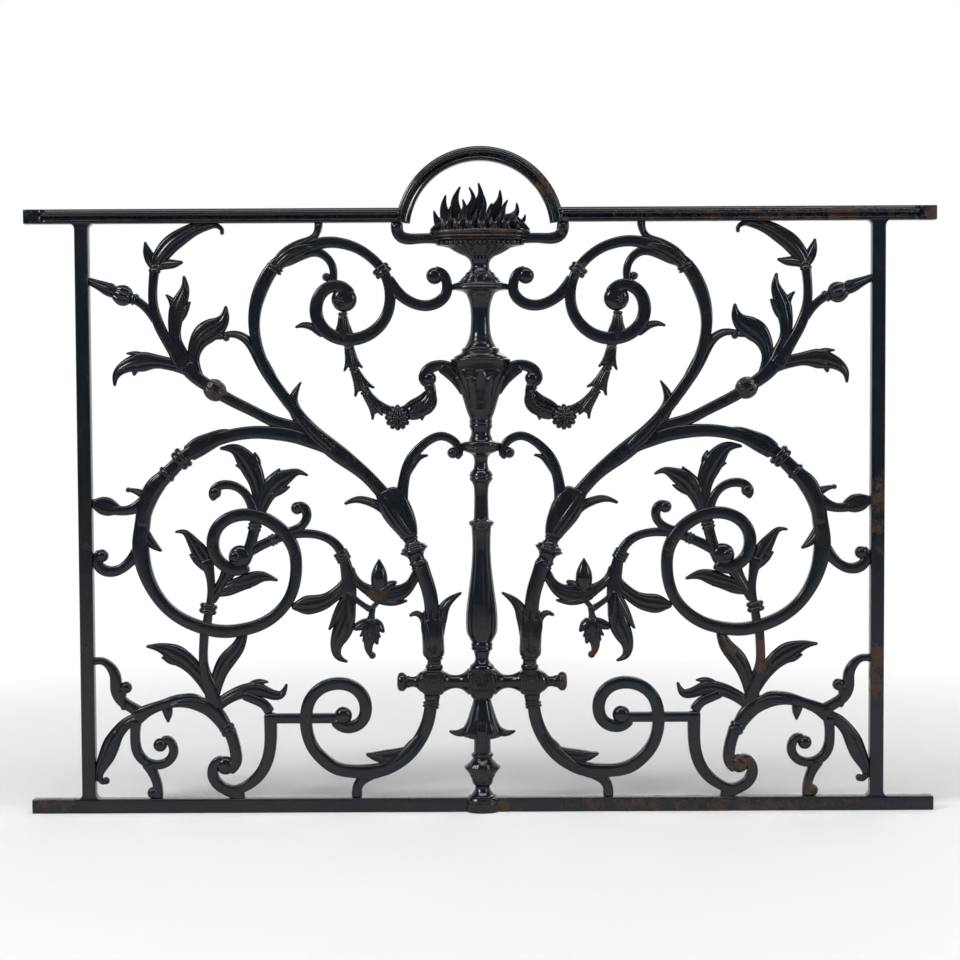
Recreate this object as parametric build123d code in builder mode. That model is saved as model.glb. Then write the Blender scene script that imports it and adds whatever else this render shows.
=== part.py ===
from build123d import *
from math import ceil, cos, pi, sin
import os

# Ornate cast iron railing panel. Millimetres, +Z up, +X along the rails, front face towards -Y.
# The origin is the middle of the bottom rail's underside.

os.makedirs("parts", exist_ok=True)

# Frame
opening_half = 544.0  # centre line to the inner face of a stile
opening_height = 805.5  # between the two rails
stile_width = 19.0
stile_depth = 18.0
stile_fillet = 8.0  # where a stile meets a rail
rail_height = 20.0
rail_depth = 18.0
rail_overhang = 70.0  # past the outer face of a stile
bead_out = 2.8  # how far the moulding stands off each face of the top rail
bead_width = 7.0
bead_rise = 13.0  # of the moulding's middle above the rail's underside
end_pad = 24.0  # plain end of the top rail, without the moulding
rail_edge = 1.5  # chamfer along the bottom rail

# Arch over the flame bowl
arch_radius = 107.7  # to the middle of its bar
arch_width = 19.5
arch_drop = 13.0  # of the arch's centre below the top rail's underside

# Scroll work
bar_width = 16.5  # of a main scroll; every other bar and leaf keeps its share of it
scroll_depth = 16.0
branch_depth = 13.0
leaf_depth = 11.0
draft = 2.6  # how far each face of a bar is set in from its middle line
leaf_draft = 0.3  # the same for a leaf, as a share of its width
eye_depth = 20.0  # volute ends and balls
section_turn = 26.0  # degrees that a bar turns from one of its sections to the next
section_run = 80.0  # and the length between them where it is straight

# Standard on the centre line
belly_radius = 22.0  # of the baluster; the other turned pieces keep their share of it
round_limit = 20.0  # turned pieces are round up to this radius, and flatter beyond it
turned_sides = 16
bead_sides = 12  # of eyes, balls, rings and knobs

# The ornament is laid out on a grid with an opening, a bar and a belly of these sizes
grid_half = 544.0
grid_height = 805.5
grid_floor = 20.0
grid_bar = 16.5
grid_belly = 22.0

stile_outer = opening_half + stile_width
rail_half = stile_outer + rail_overhang
top_rail_base = rail_height + opening_height
arch_centre = top_rail_base - arch_drop
fullness = bar_width / grid_bar
girth = belly_radius / grid_belly


def level(z):
    """Height in the panel of a height on the layout grid."""
    if z < grid_floor:
        return z * rail_height / grid_floor
    return rail_height + (z - grid_floor) * opening_height / grid_height


def at(x, z):
    """Place in the panel of a point on the layout grid."""
    return (x * opening_half / grid_half, level(z))


def width_at(widths, share):
    """Width of a bar at a share of its length, between the widths given evenly along it."""
    span = share * (len(widths) - 1)
    k = min(int(span), len(widths) - 2)
    return (widths[k] + (widths[k + 1] - widths[k]) * (span - k)) * fullness


def stations(curve, least):
    """Shares of a curve at which a bar gets a section, closer together where it turns."""
    steps = 30 * least
    effort = [0.0]
    heading = curve.tangent_at(0)
    for i in range(1, steps + 1):
        ahead = curve.tangent_at(i / steps)
        turn = heading.get_angle(ahead) / section_turn
        effort.append(effort[-1] + turn + curve.length / steps / section_run)
        heading = ahead
    count = max(ceil(effort[-1]), least)
    shares = [0.0]
    for i in range(1, steps):
        if effort[i] >= effort[-1] * len(shares) / count:
            shares.append(i / steps)
    return shares[:count] + [1.0]


def bar(route, widths, depth=scroll_depth, inset=draft):
    """One cast bar or leaf along a smooth route, tapered to both faces as it left the mould."""
    curve = Spline(*[at(x, z) for x, z in route])
    frames = []
    for share in stations(curve, len(widths) - 1):
        frames.append((curve.position_at(share), curve.tangent_at(share), width_at(widths, share)))
    with BuildPart() as piece:
        for height, narrower in ((depth / 2, inset), (0, 0), (-depth / 2, inset)):
            left = []
            right = []
            for place, heading, width in frames:
                half = max(width / 2 - narrower, width * 0.2)
                left.append((place.X - heading.Y * half, place.Y + heading.X * half))
                right.append((place.X + heading.Y * half, place.Y - heading.X * half))
            with BuildSketch(Plane.XZ.offset(height)):
                with BuildLine():
                    Polyline(*left, *right[::-1], close=True)
                make_face()
        loft(ruled=True)
    return piece.part


def leaf(route, widths, depth=leaf_depth):
    """A leaf: a thinner bar whose faces slope to a narrow ridge."""
    return bar(route, widths, depth, max(widths) * fullness * leaf_draft)


def eye(x, z, radius, depth=eye_depth):
    """The round end of a scroll, or a ball, tapered to both faces."""
    centre = at(x, z)
    with BuildPart() as piece:
        for height, share in ((depth / 2, 0.7), (0, 1), (-depth / 2, 0.7)):
            with BuildSketch(Plane.XZ.offset(height)):
                with Locations(centre):
                    RegularPolygon(radius * share * fullness, bead_sides)
        loft(ruled=True)
    return piece.part


def bead(start, end, radius, rim=0.8):
    """A round ring, widest half way, whose axis runs between two points of the layout grid."""
    first = Vector(*at(*start))
    axis = Vector(*at(*end)) - first
    with BuildPart() as piece:
        for share, size in ((0, rim), (0.5, 1), (1, rim)):
            place = first + axis * share
            with BuildSketch(Plane(origin=(place.X, 0, place.Y), x_dir=(0, 1, 0), z_dir=(axis.X, 0, axis.Y))):
                RegularPolygon(radius * size * fullness, bead_sides)
        loft(ruled=True)
    return piece.part


def flat_radius(radius):
    """Front to back radius of a turned piece: wide ones are flattened."""
    return radius if radius <= round_limit else round_limit + (radius - round_limit) * 0.2


def turned(profile):
    """A turned piece on the centre line, from pairs of radius and height on the grid."""
    with BuildPart() as piece:
        for radius, z in profile:
            wide = radius * girth
            deep = flat_radius(wide)
            corners = [k * 2 * pi / turned_sides for k in range(turned_sides)]
            with BuildSketch(Plane.XY.offset(level(z))):
                with BuildLine():
                    Polyline(*[(wide * cos(a), deep * sin(a)) for a in corners], close=True)
                make_face()
        loft(ruled=True)
    return piece.part


def spool(profile, z):
    """A turned piece lying along X at a height, from pairs of radius and place on the grid."""
    with BuildPart() as piece:
        for radius, x in profile:
            with BuildSketch(Plane(origin=(at(x, z)[0], 0, level(z)), x_dir=(0, 0, 1), z_dir=(1, 0, 0))):
                RegularPolygon(radius * fullness, bead_sides)
        loft(ruled=True)
    return piece.part


def join(pieces, cutters=()):
    """Pieces cast as one, cut back where they meet their neighbours."""
    with BuildPart() as whole:
        add(pieces)
        for cutter in cutters:
            add(cutter, mode=Mode.SUBTRACT)
    return whole.part


def moulding(face, middle):
    """Outline of the raised moulding on one face of the top rail, in rail depth and height."""
    out = face + (bead_out if face > 0 else -bead_out)
    return [
        (face, middle - bead_width / 2),
        (out, middle - bead_width / 4),
        (out, middle + bead_width / 4),
        (face, middle + bead_width / 2),
    ]


# Rails, stiles and arch
with BuildPart() as bottom_rail:
    with Locations((0, 0, rail_height / 2)):
        Box(2 * rail_half, rail_depth, rail_height)
    chamfer(bottom_rail.edges().filter_by(Axis.X), rail_edge)

with BuildPart() as arch_rail:
    with BuildSketch(Plane.XZ):
        with Locations((0, arch_centre)):
            Circle(arch_radius + arch_width / 2)
            Circle(arch_radius - arch_width / 2, mode=Mode.SUBTRACT)
    extrude(amount=rail_depth / 2, both=True)
    with BuildSketch(Plane.YZ):
        for y in (-rail_depth / 2, rail_depth / 2):
            with BuildLine():
                Polyline(*moulding(y, arch_centre + arch_radius + bead_rise - rail_height / 2), close=True)
            make_face()
    revolve(axis=Axis((0, 0, arch_centre), (0, 1, 0)))
    split(bisect_by=Plane.XY.offset(top_rail_base), keep=Keep.TOP)

with BuildPart() as top_rail_left:
    with Locations((-(rail_half + arch_radius) / 2, 0, top_rail_base + rail_height / 2)):
        Box(rail_half - arch_radius, rail_depth, rail_height)
    with BuildSketch(Plane.YZ.offset(-rail_half + end_pad)):
        for y in (-rail_depth / 2, rail_depth / 2):
            with BuildLine():
                Polyline(*moulding(y, top_rail_base + bead_rise), close=True)
            make_face()
    extrude(amount=rail_half - end_pad - arch_radius)
    add(arch_rail.part, mode=Mode.SUBTRACT)

with BuildPart() as stile_left:
    with BuildSketch(Plane.XZ):
        with Locations((-opening_half - stile_width / 2, rail_height + opening_height / 2)):
            Rectangle(stile_width, opening_height)
        for x in (-opening_half + stile_fillet, -stile_outer - stile_fillet):
            for z in (rail_height + stile_fillet, top_rail_base - stile_fillet):
                side = -1 if x > -opening_half else 1
                end = -1 if z < top_rail_base / 2 else 1
                with Locations((x + side * stile_fillet / 2, z + end * stile_fillet / 2)):
                    Rectangle(stile_fillet, stile_fillet)
                with Locations((x, z)):
                    Circle(stile_fillet, mode=Mode.SUBTRACT)
    extrude(amount=stile_depth / 2, both=True)

frame_cutters = [bottom_rail.part, top_rail_left.part, stile_left.part]

# Standard on the centre line, from the rail up
foot_collar = turned([(25, 0), (25, 17), (22, 20)])
foot_collar = join([foot_collar], [bottom_rail.part])

turned_foot = turned(
    [(19, 20), (18, 23), (12.5, 28), (10, 33), (13, 39), (15, 41), (15, 44), (16.5, 49), (18.6, 54),
     (25, 61), (20, 68), (13, 76), (15, 77.5), (15, 82), (11.5, 83), (11.5, 104)]
)

leaf_skirt = join(
    [
        turned([(11.5, 104), (14, 104.5), (27, 106), (29, 112), (26.5, 118), (22.5, 125), (19.5, 133),
                (16.5, 143), (13.5, 151), (12.5, 158)]),
        leaf([(-18, 113), (-27, 110.5), (-36, 110.5), (-46, 113)], (14, 11, 8, 3), 14),
        leaf([(18, 113), (27, 110.5), (36, 110.5), (46, 113)], (14, 11, 8, 3), 14),
    ]
)

centre_boss = turned(
    [(12.5, 158), (16.5, 165), (18.5, 170), (18.5, 200), (19, 203), (16, 207), (10, 213), (9.5, 218),
     (11.5, 226)]
)
centre_boss = join([centre_boss, eye(0, 185.5, 11, 44)])

baluster_bead = turned([(11.5, 226), (14.8, 229), (14.8, 237), (14, 239)])

baluster = turned(
    [(14, 239), (18, 246), (21.3, 256), (22, 266), (21.8, 278), (20.4, 291), (18, 308), (15.4, 328), (13.3, 348),
     (12.2, 368), (12.6, 387), (14.5, 402)]
)

baluster_neck = turned(
    [(14.5, 402), (17, 406.5), (12.9, 409), (10.6, 412), (9.8, 446), (10.2, 457), (12.9, 464), (16.2, 469),
     (16.4, 474), (14, 480), (10.9, 482), (9.3, 491), (10.9, 500)]
)

vase_foot = turned(
    [(10.9, 500), (15.7, 504), (24, 507.5), (27, 511), (27.3, 519), (16.4, 521), (15.7, 526), (13.5, 533),
     (15, 540), (15, 549), (16.2, 553)]
)

leaf_vase = turned([(16.2, 553), (20.5, 566), (24.5, 581), (28, 593), (32.4, 603), (36.5, 612), (37, 622)])

vase_cover = turned(
    [(37, 622), (41.5, 634.5), (37.5, 636), (36.5, 637.5), (31.8, 641), (26, 644), (25, 651), (20, 657),
     (15.7, 665.7)]
)

upper_shaft = turned(
    [(15.7, 665.7), (14.1, 672), (13.2, 684), (13.1, 696), (13.8, 707), (15.6, 716), (18.6, 724.3)]
)

bowl_pedestal = turned(
    [(18.6, 724.3), (25.7, 730), (38.5, 732), (38.5, 740), (31.4, 741), (24.3, 748), (18.6, 752), (15.7, 758),
     (13, 762)]
)

flame_bowl = turned(
    [(13, 762), (12.8, 767), (14.5, 772), (18.8, 778.6), (25.9, 780.7), (34.5, 785), (41.6, 790.7), (52, 793.6),
     (64, 796), (67, 800), (68, 806), (70, 809), (70, 815), (64, 819), (50, 821)]
)

standard = [foot_collar, turned_foot, leaf_skirt, centre_boss, baluster_bead, baluster, baluster_neck, vase_foot,
            leaf_vase, vase_cover, upper_shaft, bowl_pedestal, flame_bowl]

# Flames: where each tongue starts, leans and ends, and how wide it is
tongues = [
    ((-57, 818), (-60.5, 830), (-63.5, 842), 9),
    ((-44, 816), (-47, 842), (-46, 864), 14),
    ((-33, 816), (-34, 848), (-26.5, 874), 18),
    ((-17, 816), (-21, 838), (-19, 856), 20),
    ((-9, 816), (-8.5, 848), (-13.5, 873), 17),
    ((-2, 816), (-3.5, 850), (0.5, 879), 18),
    ((11, 816), (6, 840), (8, 861), 14),
    ((22, 816), (20, 846), (27, 876), 18),
    ((35, 816), (38, 842), (33, 862), 17),
    ((44, 816), (48, 838), (47, 856), 16),
    ((54, 818), (58, 830), (62, 843), 12),
]
flames = join([leaf(route, (width, width, 2), 16 + 2 * (k % 3)) for k, (*route, width) in enumerate(tongues)],
              [flame_bowl])

# Brackets between the bowl and the top rail
bowl_bracket_left = join(
    [bar([(-115, 825.5), (-115, 815), (-111, 807), (-102, 803), (-85, 803), (-58, 803)],
         (17, 17, 16, 14, 14, 15))],
    frame_cutters + [flame_bowl, arch_rail.part],
)

# Cross arm: a knob, a block and flared necks, with a short post through the block
cross_arm_left = join(
    [
        spool([(9, -118.6), (13.2, -114), (13.2, -110), (8.5, -105), (7.2, -97), (10, -91), (15, -84.5),
               (17.5, -79), (17.5, -58), (15, -53), (11, -46), (9.2, -38), (11, -29), (15, -22), (19, -14)], 183.3),
        bead((-67, 198), (-67, 208), 12.3),
        bead((-67, 206), (-67, 216), 9.6, 1),
        bead((-67, 214.5), (-67, 219), 11.5),
        bead((-70.7, 153), (-70.2, 170), 9.3, 1),
    ],
    standard,
)

# Trunk: sheath, stem, ringed collar, leafy body and the scroll at the baluster's neck
trunk_left = join(
    [
        bar([(-68, 217), (-68.3, 232), (-68.8, 250), (-69.5, 268)], (24, 32, 32, 27), 22, 3.5),
        eye(-71, 226, 7, 28),
        leaf([(-77, 258), (-83, 273), (-91.5, 280), (-101, 276)], (12, 11, 10, 6)),
        leaf([(-60.5, 260), (-56, 281), (-47.5, 295), (-38, 303), (-29, 308.5)], (15, 22, 15, 10, 4)),
        bar([(-70, 262), (-70, 285), (-73.3, 310), (-79.7, 331), (-86.7, 353)], (21, 21, 21, 21, 22)),
        bead((-87, 347), (-89.5, 355), 13.3),
        bead((-88.5, 354), (-92, 364), 11, 1),
        bead((-91.5, 362.5), (-96, 376), 19.5),
        bead((-95.5, 375), (-99.5, 388), 12, 1),
        bar([(-99.5, 386), (-105, 400), (-114.5, 418), (-125, 438), (-131, 453)], (24, 35, 43, 46, 26), 18),
        leaf([(-138, 426), (-156, 436), (-174, 439.5), (-190, 434.5)], (13, 12, 11, 8)),
        bar([(-113, 418), (-110.5, 448), (-106, 475), (-98.5, 495.5), (-86, 511.5), (-71, 523.5), (-55, 528.5),
             (-40.5, 523.5), (-31.5, 513), (-29.5, 503)], (20, 20, 17, 15.5, 15.5, 14.5, 13, 12.5, 12.5, 12), 14),
        eye(-39.3, 505, 7.6),
        leaf([(-98, 487), (-91, 495.5), (-83, 500), (-74.6, 501)], (13, 12, 9, 3)),
    ],
    standard + [cross_arm_left],
)

# Upper scroll: from the trunk up to the top rail and round into its eye
upper_scroll_left = join(
    [
        bar([(-131, 442), (-157, 470.5), (-185, 494), (-216, 518.5), (-245, 548), (-270, 579), (-291.5, 610),
             (-305, 637), (-313, 665), (-315, 690), (-311, 717), (-301, 743), (-286.5, 765), (-265.5, 780.5),
             (-240, 792), (-212, 798.5), (-188, 796), (-167, 788), (-149, 775), (-135, 758.5), (-127, 738),
             (-125.5, 717), (-130.5, 697), (-143.5, 679), (-162, 667.5), (-184, 663.5), (-204, 668), (-219, 679),
             (-227.5, 695), (-228, 712), (-221, 728), (-206, 737.5), (-189, 735), (-180, 725)],
            (20, 18.5, 27, 17, 16, 14.5, 15.5, 21, 18, 16.5, 14.5, 14.5, 16, 18, 18.5, 18, 16)),
        eye(-189.5, 719.5, 17.5),
        eye(-195.5, 717, 9.5, 25),
        leaf([(-227, 678), (-236, 682.5), (-247, 684), (-257, 681)], (14, 11, 9, 3)),
        leaf([(-258, 564), (-262, 580), (-258, 592), (-251, 603.6)], (20, 16, 10, 2), 13),
        bar([(-277, 577), (-297, 617), (-313, 647), (-326, 664), (-341, 671.5), (-361, 670.5)],
            (8, 14, 16, 14, 12, 8), branch_depth),
        eye(-354.3, 666.5, 4.6, 14),
        bead((-289.5, 760), (-283, 770), 12),
        leaf([(-283, 770), (-267, 787), (-246.5, 798), (-229.5, 806), (-224.5, 826)], (10, 14, 14, 9, 11), 18),
        bead((-139.5, 753), (-133.5, 763), 14),
        bar([(-241, 786), (-225, 785), (-211.5, 775.5), (-204.3, 761), (-205, 744)], (12, 12, 12, 10.5, 10.5),
            branch_depth),
        eye(-214, 750.5, 5.2, 16),
        bar([(-191.5, 703), (-191.5, 690), (-190, 672)], (13, 16, 26), 12),
    ],
    [trunk_left, top_rail_left.part],
)

urn_scroll_left = join(
    [
        bar([(-124, 741), (-112, 726), (-96, 715), (-77, 710), (-60, 714), (-47.7, 726), (-46.3, 741), (-54, 756)],
            (18, 17, 16, 15.5, 15.5, 16, 15, 14), 15),
        eye(-63.5, 751.3, 11.5),
    ],
    [upper_scroll_left] + standard,
)

# Great scroll: out to the stile, down and round into its eye
great_scroll_left = join(
    [
        bar([(-212, 511), (-235, 520.5), (-260, 529), (-287, 533.5), (-313, 535), (-340, 532.5), (-366, 526),
             (-392, 515), (-412, 503), (-429, 486.5), (-445, 471), (-461, 453), (-470.5, 431), (-474, 408),
             (-477, 385), (-475.7, 360), (-470, 336.5), (-460.5, 315), (-444.5, 292.5), (-423, 275), (-395, 262.3),
             (-366, 256), (-336.5, 258), (-310.5, 265.5), (-286, 281.5), (-269.5, 302.5), (-261.5, 326),
             (-259.5, 348), (-262, 369), (-272, 389), (-288, 405), (-308, 416), (-331, 420), (-353, 415),
             (-369.5, 401.5), (-376, 381), (-371, 360), (-357, 346.5), (-341, 342.5), (-327, 349)],
            (18, 18, 20, 18.5, 18, 18.5, 19, 24, 29, 22, 24, 25, 20, 17, 17, 18, 18.5, 18, 17.5, 16.5, 16.5, 17,
             18.5, 18.5, 17.5, 18, 17.5, 17, 17)),
        bead((-423.5, 494), (-413, 503.5), 16),
        bead((-441, 475), (-436, 480), 12.5),
        eye(-338, 360.5, 16.3),
        eye(-344, 361.4, 9.5, 25),
        leaf([(-475, 448), (-484, 453), (-493, 455.5)], (18, 9, 6)),
        eye(-493.5, 455.3, 3.2, 14),
        bar([(-474, 435), (-486, 429), (-501, 426), (-516, 428)], (24, 16, 13, 15), branch_depth),
        leaf([(-510, 427.5), (-522, 431.5), (-532, 434), (-543, 437.5)], (16, 26.5, 26, 14), 16),
        bar([(-536, 437), (-541, 437), (-546, 437)], (11, 10, 10), 10),
        bar([(-482, 368), (-494, 353), (-508, 343), (-523, 341), (-535.5, 348), (-538, 360)],
            (20, 16, 14, 15, 16, 14), branch_depth),
        eye(-531.6, 363, 9),
        bar([(-533, 356), (-539, 356), (-546, 356)], (19, 20, 22), 12),
        leaf([(-468, 395), (-463, 384), (-456.5, 375.5), (-448.5, 369.5)], (14, 12, 11, 6)),
    ],
    [trunk_left, upper_scroll_left, stile_left.part],
)

# Upper branch: the knotted stem with its leaves, bud and bell
upper_branch_left = join(
    [
        bar([(-255, 540), (-289.5, 550.5), (-312, 561.5), (-338, 574.5), (-361, 587), (-383, 602), (-396.5, 612),
             (-410, 627)], (19, 17, 15.5, 16, 16.5, 17.5, 19, 23), branch_depth),
        eye(-371, 594, 15),
        leaf([(-402, 616), (-430, 629.5), (-455, 634), (-478, 633), (-498, 626), (-509.5, 614), (-509.5, 601.5)],
             (19, 17, 19, 29, 19, 10, 6.5)),
        leaf([(-480, 632), (-482.5, 622), (-482.5, 616)], (22, 14, 6)),
        leaf([(-474, 640), (-484, 645), (-493, 645)], (12, 9, 4)),
        leaf([(-411, 628), (-420, 652), (-426, 677), (-423, 702), (-417, 722), (-411, 736), (-412.5, 752.5)],
             (26, 19, 15, 21, 24, 15, 3)),
        leaf([(-423, 712), (-431, 720), (-437, 726)], (15, 10, 2)),
        leaf([(-413, 702), (-408, 710), (-404, 716.5)], (15, 11, 4)),
        bar([(-416, 629), (-431, 654), (-442.5, 674), (-451.5, 696), (-455.5, 717), (-455.3, 740), (-452.7, 762)],
            (24, 17, 15, 15.5, 13, 12.5, 14), branch_depth),
        bar([(-453, 695), (-464, 707.5), (-475, 717), (-487, 723.5)], (15, 12, 12, 14), 12),
        leaf([(-482, 723.5), (-498, 729.5), (-514, 734.5), (-530, 740.5), (-546, 747)], (18, 29, 21.5, 13, 10), 16),
        bead((-453, 759), (-451.5, 768), 8),
        leaf([(-452, 768), (-459.5, 780), (-464, 790), (-465.5, 800)], (18, 15, 10, 3)),
        leaf([(-449, 768), (-437, 769), (-427, 769.7), (-413.8, 772)], (14, 13, 12, 4)),
        leaf([(-450.5, 766), (-442.5, 783), (-431, 796), (-416, 807), (-398, 817), (-370, 824)],
             (16, 26, 25, 21, 16, 12), 14),
        bar([(-370, 822), (-362, 820.5), (-357.5, 815), (-359.5, 809.5)], (9, 7, 6, 5), 10),
        leaf([(-397, 617), (-400, 640), (-394.5, 660), (-382.5, 674), (-368, 681), (-357, 692), (-354.5, 710.5)],
             (22, 15, 19, 31, 30, 14, 3), 12),
    ],
    [upper_scroll_left, great_scroll_left, top_rail_left.part, stile_left.part],
)

# Spray of stems and leaves inside the great scroll
spiral_spray_left = join(
    [
        bar([(-386, 258), (-383.5, 280), (-380, 300), (-379, 320), (-381, 338), (-386, 358)],
            (14, 12.5, 11.5, 11, 13, 22), branch_depth),
        bead((-384.7, 281), (-382.3, 294), 12.3),
        leaf([(-386, 354), (-396, 370), (-406.5, 385.5), (-417, 396), (-428, 395)], (20, 24, 17, 9, 7)),
        leaf([(-388, 350), (-399, 357), (-408, 364)], (16, 13, 4)),
        bar([(-376, 300), (-367, 317), (-357.5, 332), (-350, 347)], (12, 14, 16, 26), branch_depth),
        leaf([(-364, 315), (-346, 322), (-328, 327), (-308, 332), (-287, 327.5)], (12, 17, 22, 13, 6)),
        bar([(-328, 366), (-321, 386), (-317, 402), (-313, 424)], (18, 15, 16, 18), branch_depth),
        bar([(-326, 369), (-310, 376), (-291, 384.5), (-272, 391.5)], (16, 14.5, 14, 14), branch_depth),
        leaf([(-313, 418), (-309.5, 445), (-313.5, 466), (-321, 484), (-330, 498), (-342.5, 511), (-364, 512)],
             (16, 21, 23, 30, 26, 15, 5)),
        leaf([(-317, 484), (-313.5, 496), (-316, 506)], (16, 12, 5)),
        leaf([(-326, 482), (-335, 486), (-342, 489)], (14, 9, 2)),
        bar([(-317, 420), (-323.5, 438.5), (-331, 450.5), (-342.5, 459), (-357, 462), (-370, 458), (-375, 449)],
            (16, 14, 12.5, 12, 12.5, 13.5, 13), 12),
        eye(-373, 451, 9),
        leaf([(-309, 422), (-299, 448), (-287, 464), (-270, 474), (-256, 479), (-243, 474)], (16, 20, 30, 23, 10, 5)),
    ],
    [great_scroll_left],
)

# Flower cluster between the great scroll and the trunk
flower_cluster_left = join(
    [
        bar([(-264, 392), (-245, 393), (-225, 390), (-208, 381.5), (-196.5, 367), (-190, 348), (-186.5, 326),
             (-186, 300)], (13, 12.5, 12, 13, 14, 18, 21, 22), branch_depth),
        bar([(-268, 396), (-257, 400), (-247, 409), (-244, 420.5), (-249.5, 430.5), (-257.5, 430)],
            (12, 13, 12.5, 13, 14, 15), branch_depth),
        eye(-258, 429, 9),
        bead((-196.7, 364.5), (-191.3, 353.5), 11),
        leaf([(-189, 322), (-205, 307.5), (-223, 296.5), (-242, 292.5), (-265.5, 290)], (18, 15, 24, 28, 12)),
        leaf([(-186, 308), (-193, 290), (-198, 272), (-203, 258), (-207, 246), (-209.5, 234), (-204.5, 222),
              (-195, 216)], (14, 24, 32, 34, 20, 12.5, 9.5, 4)),
        bar([(-181, 304), (-174, 298), (-165, 291.5), (-156, 286)], (9, 8, 8, 10), 9),
        bar([(-139, 303), (-146, 296), (-151.5, 290), (-156, 284)], (8, 7, 8, 8), 9),
        leaf([(-156, 287), (-159, 268), (-162, 250), (-161, 234), (-156, 219)], (10, 20, 19, 15, 6)),
        leaf([(-155, 286), (-150, 268), (-146, 256), (-149, 240)], (10, 15, 13, 4)),
        leaf([(-158, 274), (-167, 265), (-173.5, 257.5)], (10, 10, 4)),
        eye(-154, 221, 4.5, 12),
        bar([(-184, 343), (-177.5, 328), (-164.5, 317), (-147, 309), (-128, 306.5), (-112, 310.5), (-100, 320.5),
             (-91, 336)], (14, 13, 13, 21, 25, 21, 14, 16), branch_depth),
        leaf([(-145, 316), (-145, 333), (-145.5, 354.5)], (18, 23, 3), 18),
        leaf([(-138, 315), (-128, 321), (-119.5, 323)], (10, 10, 7)),
    ],
    [great_scroll_left, spiral_spray_left, trunk_left],
)

# Garland from the upper scroll to the vase, with its rosette and the vase's handle
garland_left = join(
    [
        bar([(-184, 660), (-182.5, 642), (-177, 622), (-167.5, 605), (-158.5, 590), (-147, 576.5), (-133, 566.5),
             (-117, 561.5), (-100, 564), (-86, 571.5), (-74.5, 584), (-70.5, 600)],
            (15, 18, 18, 21, 22, 22, 24, 27, 26, 23, 18, 14), branch_depth),
        eye(-117, 554, 16.5),
        leaf([(-170.5, 604), (-174, 596), (-175.5, 585.5)], (12, 9, 3)),
        leaf([(-154, 574), (-150.5, 566), (-146.5, 554.5)], (14, 10, 3)),
        leaf([(-92, 570), (-87, 562), (-84.5, 554.5)], (13, 9, 3)),
        bar([(-34, 619), (-50, 627), (-64, 626), (-75, 619), (-79, 608)], (26, 15, 14, 16, 15), branch_depth),
        eye(-72.5, 609, 11),
    ],
    [upper_scroll_left] + standard,
)

# Lower scroll: from the cross arm down and round to its ball, with the bar to the foot scroll
lower_scroll_left = join(
    [
        bead((-72.5, 147), (-71.5, 154), 11.8),
        bar([(-72.3, 150), (-75, 133), (-81.5, 114), (-91.5, 96.5), (-105, 80.5), (-123, 67.5), (-144, 59),
             (-165, 57), (-186, 57.5), (-206, 62), (-223.5, 74), (-238, 91), (-246, 112), (-247.5, 136),
             (-242, 158), (-226, 175), (-203.5, 181.5), (-183, 177.5), (-168.5, 164.5), (-163.5, 146),
             (-168.5, 129.5), (-182, 120.5), (-198, 121.5), (-207, 129)],
            (18, 18.5, 19, 19.5, 19.5, 21, 20.5, 20, 19.5, 17.5, 17, 17.5, 17.5, 17.5, 17.5, 17.5, 18, 17.5, 17, 16)),
        eye(-195.5, 136, 12),
        bar([(-200, 132.5), (-230, 132.5), (-260, 132.5), (-292, 132.5)], (14, 14, 14, 14), 12),
        leaf([(-106, 86), (-121, 79.5), (-137, 77.5), (-162, 80.5)], (10, 19, 20, 6)),
        bar([(-158, 51), (-171, 44), (-176.5, 33), (-176.5, 19)], (18, 15, 14, 15), branch_depth),
    ],
    [cross_arm_left, bottom_rail.part] + standard,
)

foot_scroll_left = join(
    [
        bar([(-297.7, 141), (-297.5, 120), (-298, 98), (-301, 79), (-308, 61.5), (-320, 46.5), (-335, 36),
             (-351, 31), (-367, 35.5), (-378, 48), (-379.3, 62), (-371, 72)],
            (18, 18, 17.5, 17, 17, 17, 16, 14, 14.5, 16, 17, 15)),
        eye(-361.5, 66, 12.7),
        bar([(-355.5, 115), (-350, 99), (-347, 84), (-348, 68), (-357, 58)], (18, 16.5, 16.5, 16.5, 14), branch_depth),
        bead((-361, 123), (-354.5, 109), 11),
        bar([(-348, 37), (-349, 28), (-352, 19)], (20, 27, 41), branch_depth),
    ],
    [lower_scroll_left, bottom_rail.part],
)

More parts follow.
